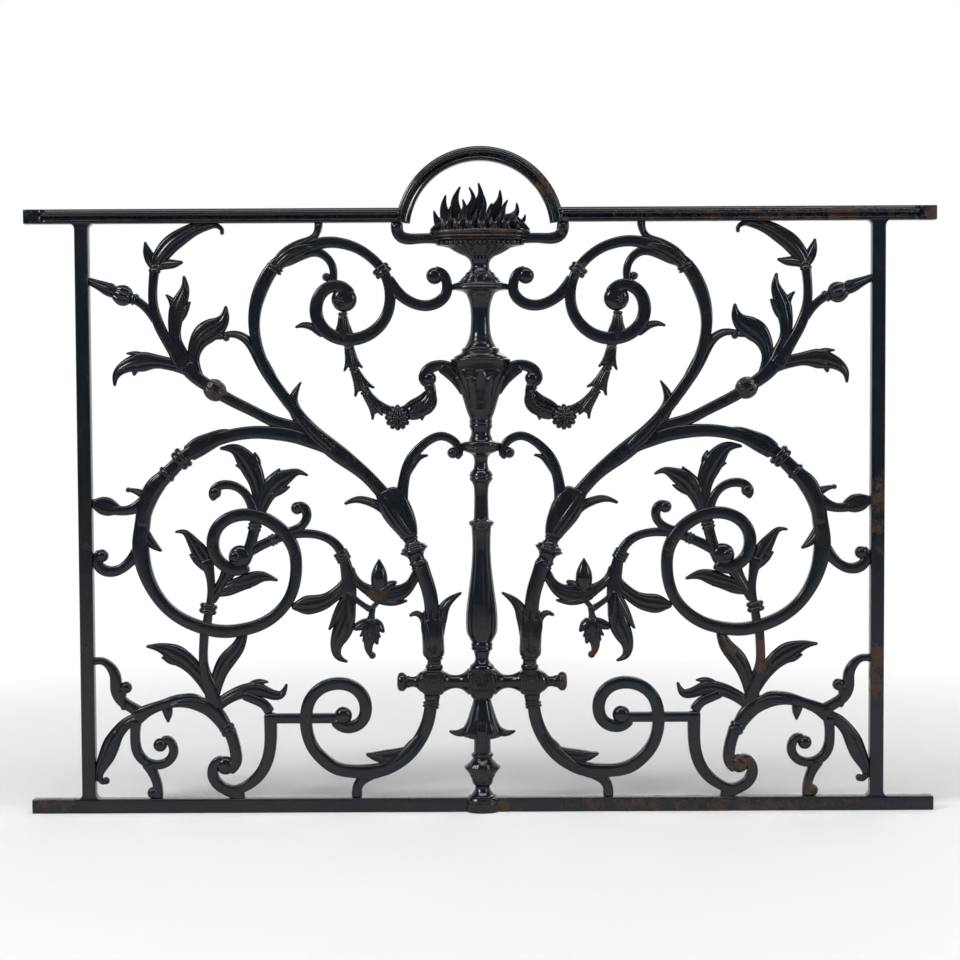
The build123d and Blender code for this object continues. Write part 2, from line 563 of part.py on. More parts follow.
corner_spray_left = join(
    [
        bar([(-486, 136), (-468, 145.5), (-449, 152.5), (-430, 157.5), (-411, 157.5), (-393, 151.5), (-376, 141),
             (-361.5, 121.5)], (25, 17, 14, 18, 21, 21, 23, 18)),
        leaf([(-443, 150), (-443, 140), (-442, 128)], (18, 12, 2)),
        bar([(-486.5, 130), (-488.5, 106), (-485.5, 86.5), (-475.5, 73), (-460.5, 67.5), (-445.5, 70.5),
             (-436, 80.5), (-435.5, 94), (-445.5, 102.5)], (18, 14, 14, 15, 14.5, 13.5, 13.5, 13.5, 13),
            branch_depth),
        eye(-454, 95.5, 9.3),
        bar([(-469, 69), (-462, 52), (-457.5, 36), (-457.5, 19)], (20, 14, 13, 15), branch_depth),
        eye(-464, 27.7, 8),
        bar([(-480, 140), (-493, 149), (-506.5, 158.5), (-514, 174), (-515, 192), (-521.5, 206), (-533, 214.5),
             (-546, 214)], (20, 15, 15.5, 16.5, 16.5, 14, 10, 11), branch_depth),
        eye(-500.5, 177, 8.3),
        bar([(-501, 150), (-506, 163), (-503, 176)], (13, 10, 12), branch_depth),
        leaf([(-484, 133), (-500, 126.5), (-513, 113), (-522, 97), (-529.5, 79), (-538.5, 60), (-541, 45)],
             (17, 16, 18, 24, 23, 16, 9)),
        bar([(-538.5, 52), (-537, 45), (-532, 42.5)], (9, 8, 7), 9),
        eye(-530.5, 45, 5, 12),
        bar([(-378, 155), (-382, 178), (-389.5, 202), (-391, 228), (-389, 258)], (22, 20, 13, 12.5, 13.5),
            branch_depth),
        leaf([(-382, 172), (-396.5, 194.5), (-413, 212.5), (-433, 225), (-452, 233), (-470, 234.5)],
             (19, 20, 23, 29, 14, 4)),
        leaf([(-377, 163), (-371.5, 189), (-363.5, 208), (-351, 224), (-339.5, 236.5), (-334, 252)],
             (16, 17, 23, 24, 16, 14)),
        leaf([(-372, 148), (-354, 162), (-334, 172), (-314, 173), (-297.5, 166), (-284, 165.5), (-275.5, 180.5)],
             (16, 17, 20, 20, 14, 12, 4)),
        bar([(-334, 165), (-319, 159), (-306, 152), (-299, 142)], (13, 13.5, 14, 15), branch_depth),
    ],
    [foot_scroll_left, great_scroll_left, stile_left.part, bottom_rail.part],
)

left_side = {
    "top_rail": top_rail_left.part,
    "stile": stile_left.part,
    "bowl_bracket": bowl_bracket_left,
    "cross_arm": cross_arm_left,
    "trunk": trunk_left,
    "upper_scroll": upper_scroll_left,
    "urn_scroll": urn_scroll_left,
    "great_scroll": great_scroll_left,
    "upper_branch": upper_branch_left,
    "spiral_spray": spiral_spray_left,
    "flower_cluster": flower_cluster_left,
    "garland": garland_left,
    "lower_scroll": lower_scroll_left,
    "foot_scroll": foot_scroll_left,
    "corner_spray": corner_spray_left,
}
nodes = {
    "bottom_rail": bottom_rail.part,
    "arch_rail": arch_rail.part,
    "foot_collar": foot_collar,
    "turned_foot": turned_foot,
    "leaf_skirt": leaf_skirt,
    "centre_boss": centre_boss,
    "baluster_bead": baluster_bead,
    "baluster": baluster,
    "baluster_neck": baluster_neck,
    "vase_foot": vase_foot,
    "leaf_vase": leaf_vase,
    "vase_cover": vase_cover,
    "upper_shaft": upper_shaft,
    "bowl_pedestal": bowl_pedestal,
    "flame_bowl": flame_bowl,
    "flames": flames,
}

for name, piece in left_side.items():
    with BuildPart() as twin:
        mirror(piece, about=Plane.YZ)
    nodes[name + "_left"] = piece
    nodes[name + "_right"] = twin.part

for name, piece in nodes.items():
    piece.label = name
    export_step(piece, "parts/" + name + ".step")
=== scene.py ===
from math import ceil, cos, pi, radians, sin

import bmesh
import bpy
import numpy as np
from bpy.props import FloatProperty, FloatVectorProperty, PointerProperty
from mathutils import Euler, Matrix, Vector


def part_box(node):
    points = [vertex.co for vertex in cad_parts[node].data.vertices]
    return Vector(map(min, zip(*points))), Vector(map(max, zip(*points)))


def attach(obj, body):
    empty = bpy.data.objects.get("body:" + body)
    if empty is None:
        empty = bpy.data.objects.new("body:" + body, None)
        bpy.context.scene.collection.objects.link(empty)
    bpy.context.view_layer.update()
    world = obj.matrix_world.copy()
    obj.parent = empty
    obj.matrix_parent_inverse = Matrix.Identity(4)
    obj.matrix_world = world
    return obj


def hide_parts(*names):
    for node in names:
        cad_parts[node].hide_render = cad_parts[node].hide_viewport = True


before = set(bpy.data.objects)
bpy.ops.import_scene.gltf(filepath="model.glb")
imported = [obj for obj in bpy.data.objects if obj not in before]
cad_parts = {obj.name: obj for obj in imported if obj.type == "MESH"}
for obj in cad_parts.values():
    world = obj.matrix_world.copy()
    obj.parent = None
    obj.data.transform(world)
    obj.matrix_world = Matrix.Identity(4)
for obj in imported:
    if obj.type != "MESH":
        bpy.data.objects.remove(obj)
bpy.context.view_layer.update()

bl_info = {
    "name": "Cast Iron Railing Panel",
    "version": (1, 0, 0),
    "blender": (4, 5, 0),
    "location": "View3D > Sidebar > Railing",
    "description": "Dresses the solids of an ornate cast iron railing panel with its full ornament",
    "category": "Add Mesh",
}

# The ornament is drawn in millimetres on a layout grid: x along the rails from the centre line,
# z up from the underside of the bottom rail. The frame's own boxes say where the grid lies.
MM = 0.001
LAYOUT_RAIL_HALF = 633.0
LAYOUT_FLOOR = 20.0
LAYOUT_TOP = 825.5
RAIL_HALF = -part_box("top_rail_left")[0][0]
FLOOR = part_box("bottom_rail")[1][2]
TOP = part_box("top_rail_left")[0][2]
RAIL_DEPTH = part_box("bottom_rail")[1][1] * 2 / MM
RAIL_HEIGHT = (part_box("top_rail_left")[1][2] - TOP) / MM

# Mesh faces round each kind of section and round each petal, and steps along a boss, a bead and a leaf
BAR_AROUND = 16
LEAF_AROUND = 32
SHEATH_AROUND = 36
RING_AROUND = 32
PLAIN_BOSS_AROUND = 28
PETAL_AROUND = 6
BOSS_STEPS = 19
BEAD_STEPS = 6
LEAF_STATIONS = 41

# The ends of a bar or leaf are rounded over END_ROUND of the width, where END_WIDEST is the most
# width that counts and END_SHORTEST the least length. The tip stands END_TIP of the way into the
# rounding. Extra rings stand at END_RINGS of END_REACH, or of END_LONGEST_SHARE of a short bar
END_ROUND = 0.45
END_WIDEST = 7.0
END_SHORTEST = 0.5
END_TIP = 0.02
END_REACH = 4.0
END_LONGEST_SHARE = 0.2
END_RINGS = np.array([0.0, 0.04, 0.16, 0.45])

# Overlapping bars differ in depth by this many millimetres, in steps that repeat after four shells
APART = 0.35
APART_EVERY = 4

# Turned pieces are flattened front to back: beyond ROUND_LIMIT only FLATTENED of the radius counts,
# and TRIM_FLATTENED of the height of beads and ribs
ROUND_LIMIT = 20.0
FLATTENED = 0.2
TRIM_FLATTENED = 0.9
SMALLEST_RADIUS = 0.05

# Ribs and leaves round a turned piece fade out over this many millimetres, and are sunk into it
# by this share of their own height
RIB_FADE = 4.0
RIB_SUNK = 0.6
LEAF_FADE = 2.0
LEAF_SUNK = 0.35

# Squareness of the sections: 1 is round, and less is squarer
BAR_SQUARE = 0.5
STEM_SQUARE = 0.62
LEAF_SQUARE = 0.62
SHEATH_SQUARE = 0.6
SHEATH_EDGE_SQUARE = 0.85
FLATTER_FACES = 0.8

# Sharpness of the veins, where less is a broader ridge, and depth of a sheath's grooves as a share
LEAF_VEIN = 0.55
SHEATH_VEIN = 0.6
SHEATH_GROOVE = 0.2

# How far the grooves between the petals of a boss cut into its rim and its face, as shares
PETAL_RIM_GROOVE = 0.17
PETAL_FACE_GROOVE = 0.42


def layout_x(x):
    """Metres along the rails for a place on the layout grid."""
    return x * RAIL_HALF / LAYOUT_RAIL_HALF


def layout_z(z):
    """Metres up for a height on the layout grid."""
    rise = (TOP - FLOOR) / (LAYOUT_TOP - LAYOUT_FLOOR)
    above = FLOOR + (z - LAYOUT_FLOOR) * rise
    return np.where(np.asarray(z) < LAYOUT_FLOOR, z * FLOOR / LAYOUT_FLOOR, above)


def millimetres(name, description, default, low, high):
    """A length of the ornament on the layout grid."""
    return FloatProperty(name=name, description=description + ", in millimetres", default=default,
                         min=low, max=high)


def colour(name, description, default):
    """A plain colour."""
    return FloatVectorProperty(name=name, description=description, subtype="COLOR", size=3,
                               default=default, min=0.0, max=1.0)


class RailingSizes(bpy.types.PropertyGroup):
    """Sizes of the ornament."""

    scroll_depth: millimetres("Scroll depth", "Front to back thickness of the main scrolls", 16.0, 8.0, 30.0)
    branch_depth: millimetres("Branch depth", "Front to back thickness of the stems", 13.0, 6.0, 24.0)
    leaf_depth: millimetres("Leaf depth", "Front to back thickness of a leaf at its rib", 12.0, 4.0, 24.0)
    fineness: millimetres("Fineness", "Length of one mesh face along a bar or leaf", 3.8, 1.0, 8.0)
    groove: FloatProperty(
        name="Vein groove", description="Depth of the grooves between veins, as a share of the leaf",
        default=0.5, min=0.0, max=0.8, subtype="FACTOR")


class RailingFinish(bpy.types.PropertyGroup):
    """Colours of the old paint, the rust under it, and the pale edge colour that is partly bare iron and
    partly painted highlight.
    """

    paint: colour("Paint", "Old black gloss paint, with a trace of blue", (0.0034, 0.0066, 0.0112))
    worn_paint: colour("Worn paint", "Paint gone thin and brown", (0.015, 0.012, 0.0095))
    rust: colour("Rust", "Rust where the paint has gone", (0.058, 0.030, 0.016))
    # Pale grey for the highest edges: partly iron rubbed bare, partly a painted highlight that lightens the
    # ridges like a gleam
    bare_iron_and_painted_highlight: colour("Bare iron", "Iron rubbed bare on the highest edges", (0.16, 0.16, 0.165))
    gloss: FloatProperty(
        name="Gloss roughness", description="Roughness of the sound paint",
        default=0.2, min=0.05, max=0.9, subtype="FACTOR")


class RailingStage(bpy.types.PropertyGroup):
    """Floor, backdrop, lamps and camera."""

    floor: colour("Floor", "Colour of the pale floor", (0.9, 0.9, 0.9))
    near_floor: FloatProperty(
        name="Near floor", description="Reach of the floor that shows its own colour and the panel's shadow",
        default=0.6, min=0.0, unit="LENGTH")
    far_floor: FloatProperty(
        name="Far floor", description="Distance at which the floor has faded into white",
        default=1.6, min=0.1, unit="LENGTH")
    reach: FloatProperty(
        name="Reach", description="Distance from the panel to each backdrop, and the backdrops' height",
        default=7.0, min=4.0, unit="LENGTH")
    surround: FloatProperty(
        name="Surround", description="Brightness of the plain grey surround", default=0.03, min=0.0, max=2.0)
    lamp_power: FloatProperty(
        name="Lamp power", description="Power of the large soft lamp",
        default=62.0, min=0.0, max=1000.0, unit="POWER")
    focal_length: FloatProperty(
        name="Focal length", description="Lens of the camera",
        default=75.0, min=20.0, max=300.0, unit="CAMERA")
    camera_place: FloatVectorProperty(
        name="Camera place", description="Where the camera stands",
        subtype="TRANSLATION", size=3, default=(0.005, -2.793, 0.6043), unit="LENGTH")
    camera_turn: FloatVectorProperty(
        name="Camera turn", description="Pitch, roll and yaw of the camera from looking level along +Y",
        subtype="EULER", size=3, default=(-0.0492, 0.0048, 0.0021), unit="ROTATION")


# Curves and sections


def spline_bends(points, chord):
    """Second derivatives of the natural cubic spline through points, from the lengths between them."""
    n = len(points)
    bend = np.zeros_like(points)
    if n < 3:
        return bend
    matrix = np.zeros((n - 2, n - 2))
    pull = np.zeros((n - 2, points.shape[1]))
    for i in range(1, n - 1):
        matrix[i - 1, i - 1] = 2 * (chord[i - 1] + chord[i])
        if i > 1:
            matrix[i - 1, i - 2] = chord[i - 1]
        if i < n - 2:
            matrix[i - 1, i] = chord[i]
        slope_in = (points[i] - points[i - 1]) / chord[i - 1]
        slope_out = (points[i + 1] - points[i]) / chord[i]
        pull[i - 1] = 6 * (slope_out - slope_in)
    bend[1:-1] = np.linalg.solve(matrix, pull)
    return bend


def smooth_curve(route, step):
    """Points, headings and shares along the natural cubic spline through a route, every step millimetres."""
    points = np.array(route, float)
    chord = np.linalg.norm(np.diff(points, axis=0), axis=1)
    knots = np.concatenate([[0], np.cumsum(chord)])
    bend = spline_bends(points, chord)
    count = max(ceil(knots[-1] / step), 6)
    ends = END_RINGS * min(END_REACH / knots[-1], END_LONGEST_SHARE)
    shares = np.concatenate([ends, np.linspace(0, 1, count + 1)[1:-1], 1 - ends[::-1]])
    shares = np.unique(np.round(shares, 7))
    t = shares * knots[-1]
    k = np.clip(np.searchsorted(knots, t, side="right") - 1, 0, len(points) - 2)
    h = chord[k][:, None]
    a = (knots[k + 1] - t)[:, None] / h
    b = (t - knots[k])[:, None] / h
    place = a * points[k] + b * points[k + 1]
    place += ((a ** 3 - a) * bend[k] + (b ** 3 - b) * bend[k + 1]) * h ** 2 / 6
    heading = (points[k + 1] - points[k]) / h
    heading += ((3 * b ** 2 - 1) * bend[k + 1] - (3 * a ** 2 - 1) * bend[k]) * h / 6
    heading /= np.linalg.norm(heading, axis=1)[:, None]
    return place, heading, shares


def spread(values, shares):
    """Values given evenly along a length, read at shares of it and eased where they change."""
    ease = 0.3
    knots = np.linspace(0, 1, len(values))
    reach = ease / (len(values) - 1)
    sums = np.zeros(np.shape(shares))
    for offset in (-reach, -reach / 3, reach / 3, reach):
        sums = sums + np.interp(shares + offset, knots, values)
    return sums / 4


def rounded(size, power):
    """A signed power, which turns a circle's sine or cosine into that of a squarer or thinner outline."""
    return np.sign(size) * np.abs(size) ** power


def full_turn(count):
    """Angles once round a section."""
    return np.linspace(0, 2 * pi, count, endpoint=False)


def vein_ridges(across, veins, sharpness):
    """1 along each vein of a section and 0 in the grooves between them."""
    return np.abs(np.cos(across * pi * veins / 2)) ** sharpness


def soft_profile(profile, step):
    """A turned profile with its lines divided and its corners eased, as paint and casting leave them."""
    dense = []
    for start, end in zip(profile[:-1], profile[1:]):
        length = np.hypot(end[0] - start[0], end[1] - start[1])
        for share in np.linspace(0, 1, max(ceil(length / step), 1), endpoint=False):
            dense.append((start[0] + (end[0] - start[0]) * share, start[1] + (end[1] - start[1]) * share))
    dense.append(profile[-1])
    line = np.array(dense, float)
    line[1:-1] = (line[:-2] + 2 * line[1:-1] + line[2:]) / 4
    return line


def body_radii(line, step):
    """Radii of a turned profile without its beads and fillets: their mean over a reach each way."""
    reach = 5.0
    window = 2 * int(reach / step) + 1
    padded = np.pad(line[:, 0], window // 2, mode="edge")
    return np.convolve(padded, np.ones(window) / window, mode="valid")


def flat_share(radius):
    """Front to back share of a turned piece's radius: wide pieces are flattened."""
    if radius <= ROUND_LIMIT:
        return 1.0
    return (ROUND_LIMIT + (radius - ROUND_LIMIT) * FLATTENED) / radius


class Casting:
    """One piece of the casting: closed shells that run into each other, in millimetres on the grid."""

    def __init__(self, context):
        self.sizes = context.scene.railing_sizes
        self.points = []
        self.faces = []
        self.count = 0

    def shell(self, rings):
        """A closed shell through rings of points, with a cap at each end."""
        rings = np.asarray(rings, float)
        turns, around = rings.shape[:2]
        base = self.count
        self.points.append(rings.reshape(-1, 3))
        self.count += turns * around
        for i in range(turns - 1):
            for k in range(around):
                after = (k + 1) % around
                low = base + i * around
                high = low + around
                self.faces.append((low + k, low + after, high + after, high + k))
        self.faces.append(tuple(base + k for k in reversed(range(around))))
        self.faces.append(tuple(base + (turns - 1) * around + k for k in range(around)))

    def sweep(self, route, widths, depths, across, out, lift):
        """A section carried along a route. Its ends are rounded over."""
        place, heading, shares = smooth_curve(route, self.sizes.fineness)
        width = spread(widths, shares)
        depth = spread(depths, shares)
        rise = spread(lift, shares)
        run = np.concatenate([[0], np.cumsum(np.linalg.norm(np.diff(place, axis=0), axis=1))])
        round_over = np.maximum(np.minimum(width, END_WIDEST) * END_ROUND, END_SHORTEST)
        reach = np.minimum(run, run[-1] - run) / round_over
        ending = np.sqrt(1 - (1 - np.clip(reach, END_TIP, 1)) ** 2)
        rings = np.zeros((len(shares), len(across), 3))
        half = (width * ending / 2)[:, None] * across[None, :]
        rings[:, :, 0] = place[:, :1] - heading[:, 1:] * half
        rings[:, :, 2] = place[:, 1:] + heading[:, :1] * half
        rings[:, :, 1] = -(depth * ending / 2)[:, None] * out[None, :] - rise[:, None]
        self.shell(rings)

    def bar(self, route, widths, depth=None, squareness=BAR_SQUARE, lift=(0.0, 0.0)):
        """A cast bar with nearly flat faces and rounded edges. Neighbours differ a little in depth,
        so that no two faces of a piece lie in one plane."""
        turn = full_turn(BAR_AROUND) + pi / BAR_AROUND
        across = rounded(np.cos(turn), squareness)
        out = rounded(np.sin(turn), squareness * FLATTER_FACES)
        depth = (depth or self.sizes.scroll_depth) + APART * (len(self.points) % APART_EVERY)
        self.sweep(route, widths, (depth, depth), across, out, lift)

    def stem(self, route, widths, depth=None, lift=(0.0, 0.0)):
        """A thinner bar with a rounder section."""
        self.bar(route, widths, depth or self.sizes.branch_depth, STEM_SQUARE, lift)

    def leaf(self, route, widths, depth=None, veins=3, lift=(0.0, 0.0)):
        """A leaf with raised veins on both faces, thinner where it is narrower."""
        turn = full_turn(LEAF_AROUND)
        across = np.cos(turn)
        ridge = vein_ridges(across, veins, LEAF_VEIN)
        out = rounded(np.sin(turn), LEAF_SQUARE) * (1 - self.sizes.groove * (1 - ridge))
        thinnest = 0.35
        fine = spread(widths, np.linspace(0, 1, LEAF_STATIONS))
        fullness = thinnest + (1 - thinnest) * (fine / fine.max()) ** 0.6
        thick = (depth or self.sizes.leaf_depth) * fullness
        self.sweep(route, fine, thick, across, out, lift)

    def face_leaves(self, route, widths, depth, lift, veins=3):
        """A leaf laid on the front and its copy on the back, lifted off the middle plane."""
        for side in (-1, 1):
            self.leaf(route, widths, depth, veins, [side * rise for rise in lift])

    def sheath(self, route, widths, depth, veins=5):
        """A leafy wrap round a bar, with veins along it."""
        turn = full_turn(SHEATH_AROUND)
        swell = 1.1
        across = rounded(np.cos(turn), SHEATH_EDGE_SQUARE)
        ridge = vein_ridges(across, veins, SHEATH_VEIN)
        out = rounded(np.sin(turn), SHEATH_SQUARE) * (1 - SHEATH_GROOVE * (1 - ridge))
        self.sweep(route, widths, (depth, depth * swell, depth), across, out, (0.0, 0.0))

    def round_on(self, origin, heading, profile, flat=1.0, relief=None, around=48, step=0.9):
        """A turned form about an axis through origin, from pairs of radius and place along the axis.
        Its radii are flattened front to back by flat. relief gives extra radius for a turn and a place."""
        line = soft_profile(profile, step)
        body = body_radii(line, step)
        turn = full_turn(around)
        side_relief = 0.45
        facing = side_relief + (1 - side_relief) * np.abs(np.sin(turn))
        origin = np.array([origin[0], 0, origin[1]])
        axis = np.array([heading[0], 0, heading[1]])
        side = (heading[1], 0, -heading[0])
        rings = np.zeros((len(line), around, 3))
        for i, (radius, along) in enumerate(line):
            extra = relief(turn, along) * facing if relief else 0.0
            wide = np.maximum(radius + extra, SMALLEST_RADIUS)
            if callable(flat):
                trim = (radius - body[i] + extra) * TRIM_FLATTENED
                deep = np.maximum(body[i] * flat(body[i]) + trim, SMALLEST_RADIUS)
            else:
                deep = wide * flat
            rings[i] = origin + axis * along + np.outer(np.cos(turn) * wide, side)
            rings[i, :, 1] += np.sin(turn) * deep
        self.shell(rings)

    def turned(self, profile, relief=None, around=60, step=0.9):
        """A turned piece on the centre line, from pairs of radius and height."""
        self.round_on((0, 0), (0, 1), profile, flat_share, relief, around, step)

    def ring(self, start, end, radius, beads=1, rim=0.8, flat=0.86):
        """A collar round a bar, between two places on its axis, with one or more beads along it."""
        overlap = 0.4
        roundness = 0.6
        heading = np.array(end, float) - start
        length = np.linalg.norm(heading)
        shoulder = radius * rim * 0.6
        profile = [(shoulder, -overlap)]
        for i in range(BEAD_STEPS * beads + 1):
            swell = abs(sin(pi * i / BEAD_STEPS)) ** roundness
            profile.append((radius * (rim + (1 - rim) * swell), length * i / (BEAD_STEPS * beads)))
        profile.append((shoulder, length + overlap))
        self.round_on(start, heading / length, profile, flat, None, RING_AROUND)

    def boss(self, x, z, radius, depth=20.0, petals=0, dome=0.55, y=0.0):
        """A round button on both faces, plain or with petals."""
        turn = full_turn(PETAL_AROUND * petals if petals else PLAIN_BOSS_AROUND)
        lobes = np.abs(np.cos(turn * petals / 2)) ** 0.5 if petals else np.ones_like(turn)
        roundness = 0.62
        narrowest = 0.02
        rings = []
        for share in np.linspace(-1, 1, BOSS_STEPS):
            swing = share * pi / 2
            reach = cos(swing) ** roundness
            out = sin(swing) * (1 - dome * 0.5 + dome * 0.5 * abs(sin(swing)))
            edge = radius * max(reach, narrowest) * (1 - PETAL_RIM_GROOVE * (1 - lobes) * reach ** 3)
            high = depth / 2 * out * (1 - PETAL_FACE_GROOVE * (1 - lobes) * min(1.0, 1.6 * reach))
            rings.append(np.stack([x + np.cos(turn) * edge, y + high * np.ones_like(turn),
                                   z + np.sin(turn) * edge], axis=1))
        self.shell(rings)

    def husk(self, start, end, neck, mouth, depth=16.0):
        """A bell-shaped husk with a ring at its neck and pointed leaves round its mouth."""
        start = np.array(start, float)
        end = np.array(end, float)
        forward = (end - start) / np.linalg.norm(end - start)
        across = np.array([-forward[1], forward[0]])
        middle = (start + end) / 2
        self.sheath([start, middle, end], (neck, 0.5 * (neck + mouth) * 0.96, mouth), depth)
        for side in (-1, 1):
            shoulder = end + across * side * mouth * 0.3 - forward * 7
            tip = end + across * side * mouth * 0.6 + forward * 3.5
            self.leaf([start + across * side * neck * 0.2 + forward * 4, shoulder, tip],
                      (neck * 0.5, mouth * 0.42, 3), depth * 0.9)
        self.face_leaves([start + forward * 3, middle, end - forward * 2, end + forward * 7],
                         (neck * 0.55, mouth * 0.4, mouth * 0.42, 2), depth * 0.5, (depth * 0.36,) * 2)
        self.ring(start - forward * 2.4, start + forward * 1.6, neck * 0.58, flat=1.0)

    def finish(self, *nodes):
        """One object for each node. A node whose name ends in right gets the mirror image."""
        points = np.concatenate(self.points)
        points = np.stack([layout_x(points[:, 0]), points[:, 1] * MM, layout_z(points[:, 2])], axis=1)
        for node in nodes:
            flip = node.endswith("_right")
            mesh = bpy.data.meshes.new(node + "_cast")
            placed = points * np.array([-1, 1, 1]) if flip else points
            faces = [face[::-1] for face in self.faces] if flip else self.faces
            mesh.from_pydata(placed.tolist(), [], faces)
            mesh.validate()
            work = bmesh.new()
            work.from_mesh(mesh)
            bmesh.ops.recalc_face_normals(work, faces=work.faces)
            work.to_mesh(mesh)
            work.free()
            mesh.shade_smooth()
            piece = bpy.data.objects.new(node + "_cast", mesh)
            bpy.context.collection.objects.link(piece)
            piece.data.materials.append(painted_iron())
            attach(piece, "root")
            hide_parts(node)


# Finish of the whole casting


RUST_PATCHES = (
    # place on the grid, half size, strength
    ((420, 836), (230, 12), 0.62),
    ((628, 836), (22, 14), 1.0),
    ((-628, 836), (16, 14), 0.55),
    ((88, 880), (34, 40), 0.7),
    ((0, 810), (78, 7), 0.75),
    ((115, 818), (14, 16), 0.8),
    ((137, 758), (18, 14), 0.75),
    ((-370, 595), (20, 18), 0.7),
    ((-145, 308), (24, 12), 0.7),
    ((-192, 361), (16, 14), 0.75),
    ((554, 425), (14, 55), 0.7),
    ((554, 195), (14, 50), 0.7),
    ((330, 10), (310, 12), 0.62),
    ((-600, 10), (40, 12), 0.7),
    ((-60, 8), (120, 8), 0.35),
    ((29, 9), (9, 14), 1.0),
    ((392, 222), (15, 30), 1.0),
    ((350, 232), (14, 12), 0.8),
    ((155, 225), (12, 16), 0.85),
    ((118, 183), (14, 16), 0.8),
    ((362, 66), (22, 24), 0.7),
    ((458, 30), (18, 18), 0.75),
    ((103, 438), (12, 14), 0.6),
    ((270, 350), (26, 40), 0.35),
)


class Nodes:
    """Adds nodes to a material and wires them by name."""

    def __init__(self, material):
        material.use_nodes = True
        self.tree = material.node_tree
        self.tree.nodes.clear()

    def feed(self, socket, value):
        """Links a socket to another, or sets its value."""
        if isinstance(value, bpy.types.NodeSocket):
            self.tree.links.new(value, socket)
        else:
            socket.default_value = value

    def add(self, kind, inputs=None, **settings):
        node = self.tree.nodes.new(kind)
        for name, value in settings.items():
            setattr(node, name, value)
        for name, value in (inputs or {}).items():
            self.feed(node.inputs[name], value)
        return node

    def object_place(self):
        return self.add("ShaderNodeTexCoord").outputs["Object"]

    def math(self, operation, first, second=0.0, clamp=False):
        node = self.add("ShaderNodeMath", {0: first, 1: second}, operation=operation, use_clamp=clamp)
        return node.outputs[0]

    def product(self, first, second, clamp=False):
        return self.math("MULTIPLY", first, second, clamp)

    def vector(self, operation, first, second=(0.0, 0.0, 0.0)):
        return self.add("ShaderNodeVectorMath", {0: first, 1: second}, operation=operation)

    def noise(self, place, scale, detail=4.0, roughness=0.55):
        node = self.add("ShaderNodeTexNoise",
                        {"Vector": place, "Scale": scale, "Detail": detail, "Roughness": roughness})
        return node.outputs["Fac"]

    def ramp(self, value, low, high, start=0.0, end=1.0):
        node = self.add("ShaderNodeMapRange",
                        {"Value": value, "From Min": low, "From Max": high, "To Min": start, "To Max": end})
        return node.outputs["Result"]

    def mix(self, share, first, second):
        node = self.add("ShaderNodeMix", data_type="RGBA")
        for socket, value in ((0, share), (6, first), (7, second)):
            self.feed(node.inputs[socket], value)
        return node.outputs[2]

    def surface(self, shader, output):
        self.add("ShaderNodeOutputMaterial", {"Surface": shader.outputs[output]})


def darker(tint, share):
    """A colour of a settings group, scaled, with its alpha."""
    return tuple(share * c for c in tint) + (1,)


def rust_places(nodes, place):
    """How far a point lies inside the patches where the paint has failed, from 0 to 1."""
    total = None
    for (x, z), (half_x, half_z), strength in RUST_PATCHES:
        centre = (layout_x(x), 0.0, float(layout_z(z)))
        shift = nodes.vector("SUBTRACT", place, centre).outputs[0]
        scaled = nodes.vector("MULTIPLY", shift, (1 / (half_x * MM), 0.0, 1 / (half_z * MM))).outputs[0]
        length = nodes.vector("LENGTH", scaled).outputs["Value"]
        inside = nodes.ramp(length, low=1.35, high=0.55, start=0.0, end=strength)
        total = inside if total is None else nodes.math("MAXIMUM", total, inside)
    return total


def rust_amount(nodes, place, middle, fine):
    """Where rust shows: in the patches, broken up by the noise, and faintly in small spots elsewhere."""
    patches = rust_places(nodes, place)
    field = nodes.math("ADD", middle, nodes.product(fine, 0.5))
    threshold = nodes.math("SUBTRACT", 1.02, nodes.product(patches, 0.42))
    rust = nodes.ramp(nodes.math("SUBTRACT", field, threshold), low=-0.06, high=0.1)
    spots = nodes.ramp(nodes.math("ADD", middle, nodes.product(fine, 0.35)), low=0.82, high=0.92)
    return nodes.math("MAXIMUM", rust, nodes.product(spots, 0.2), clamp=True)


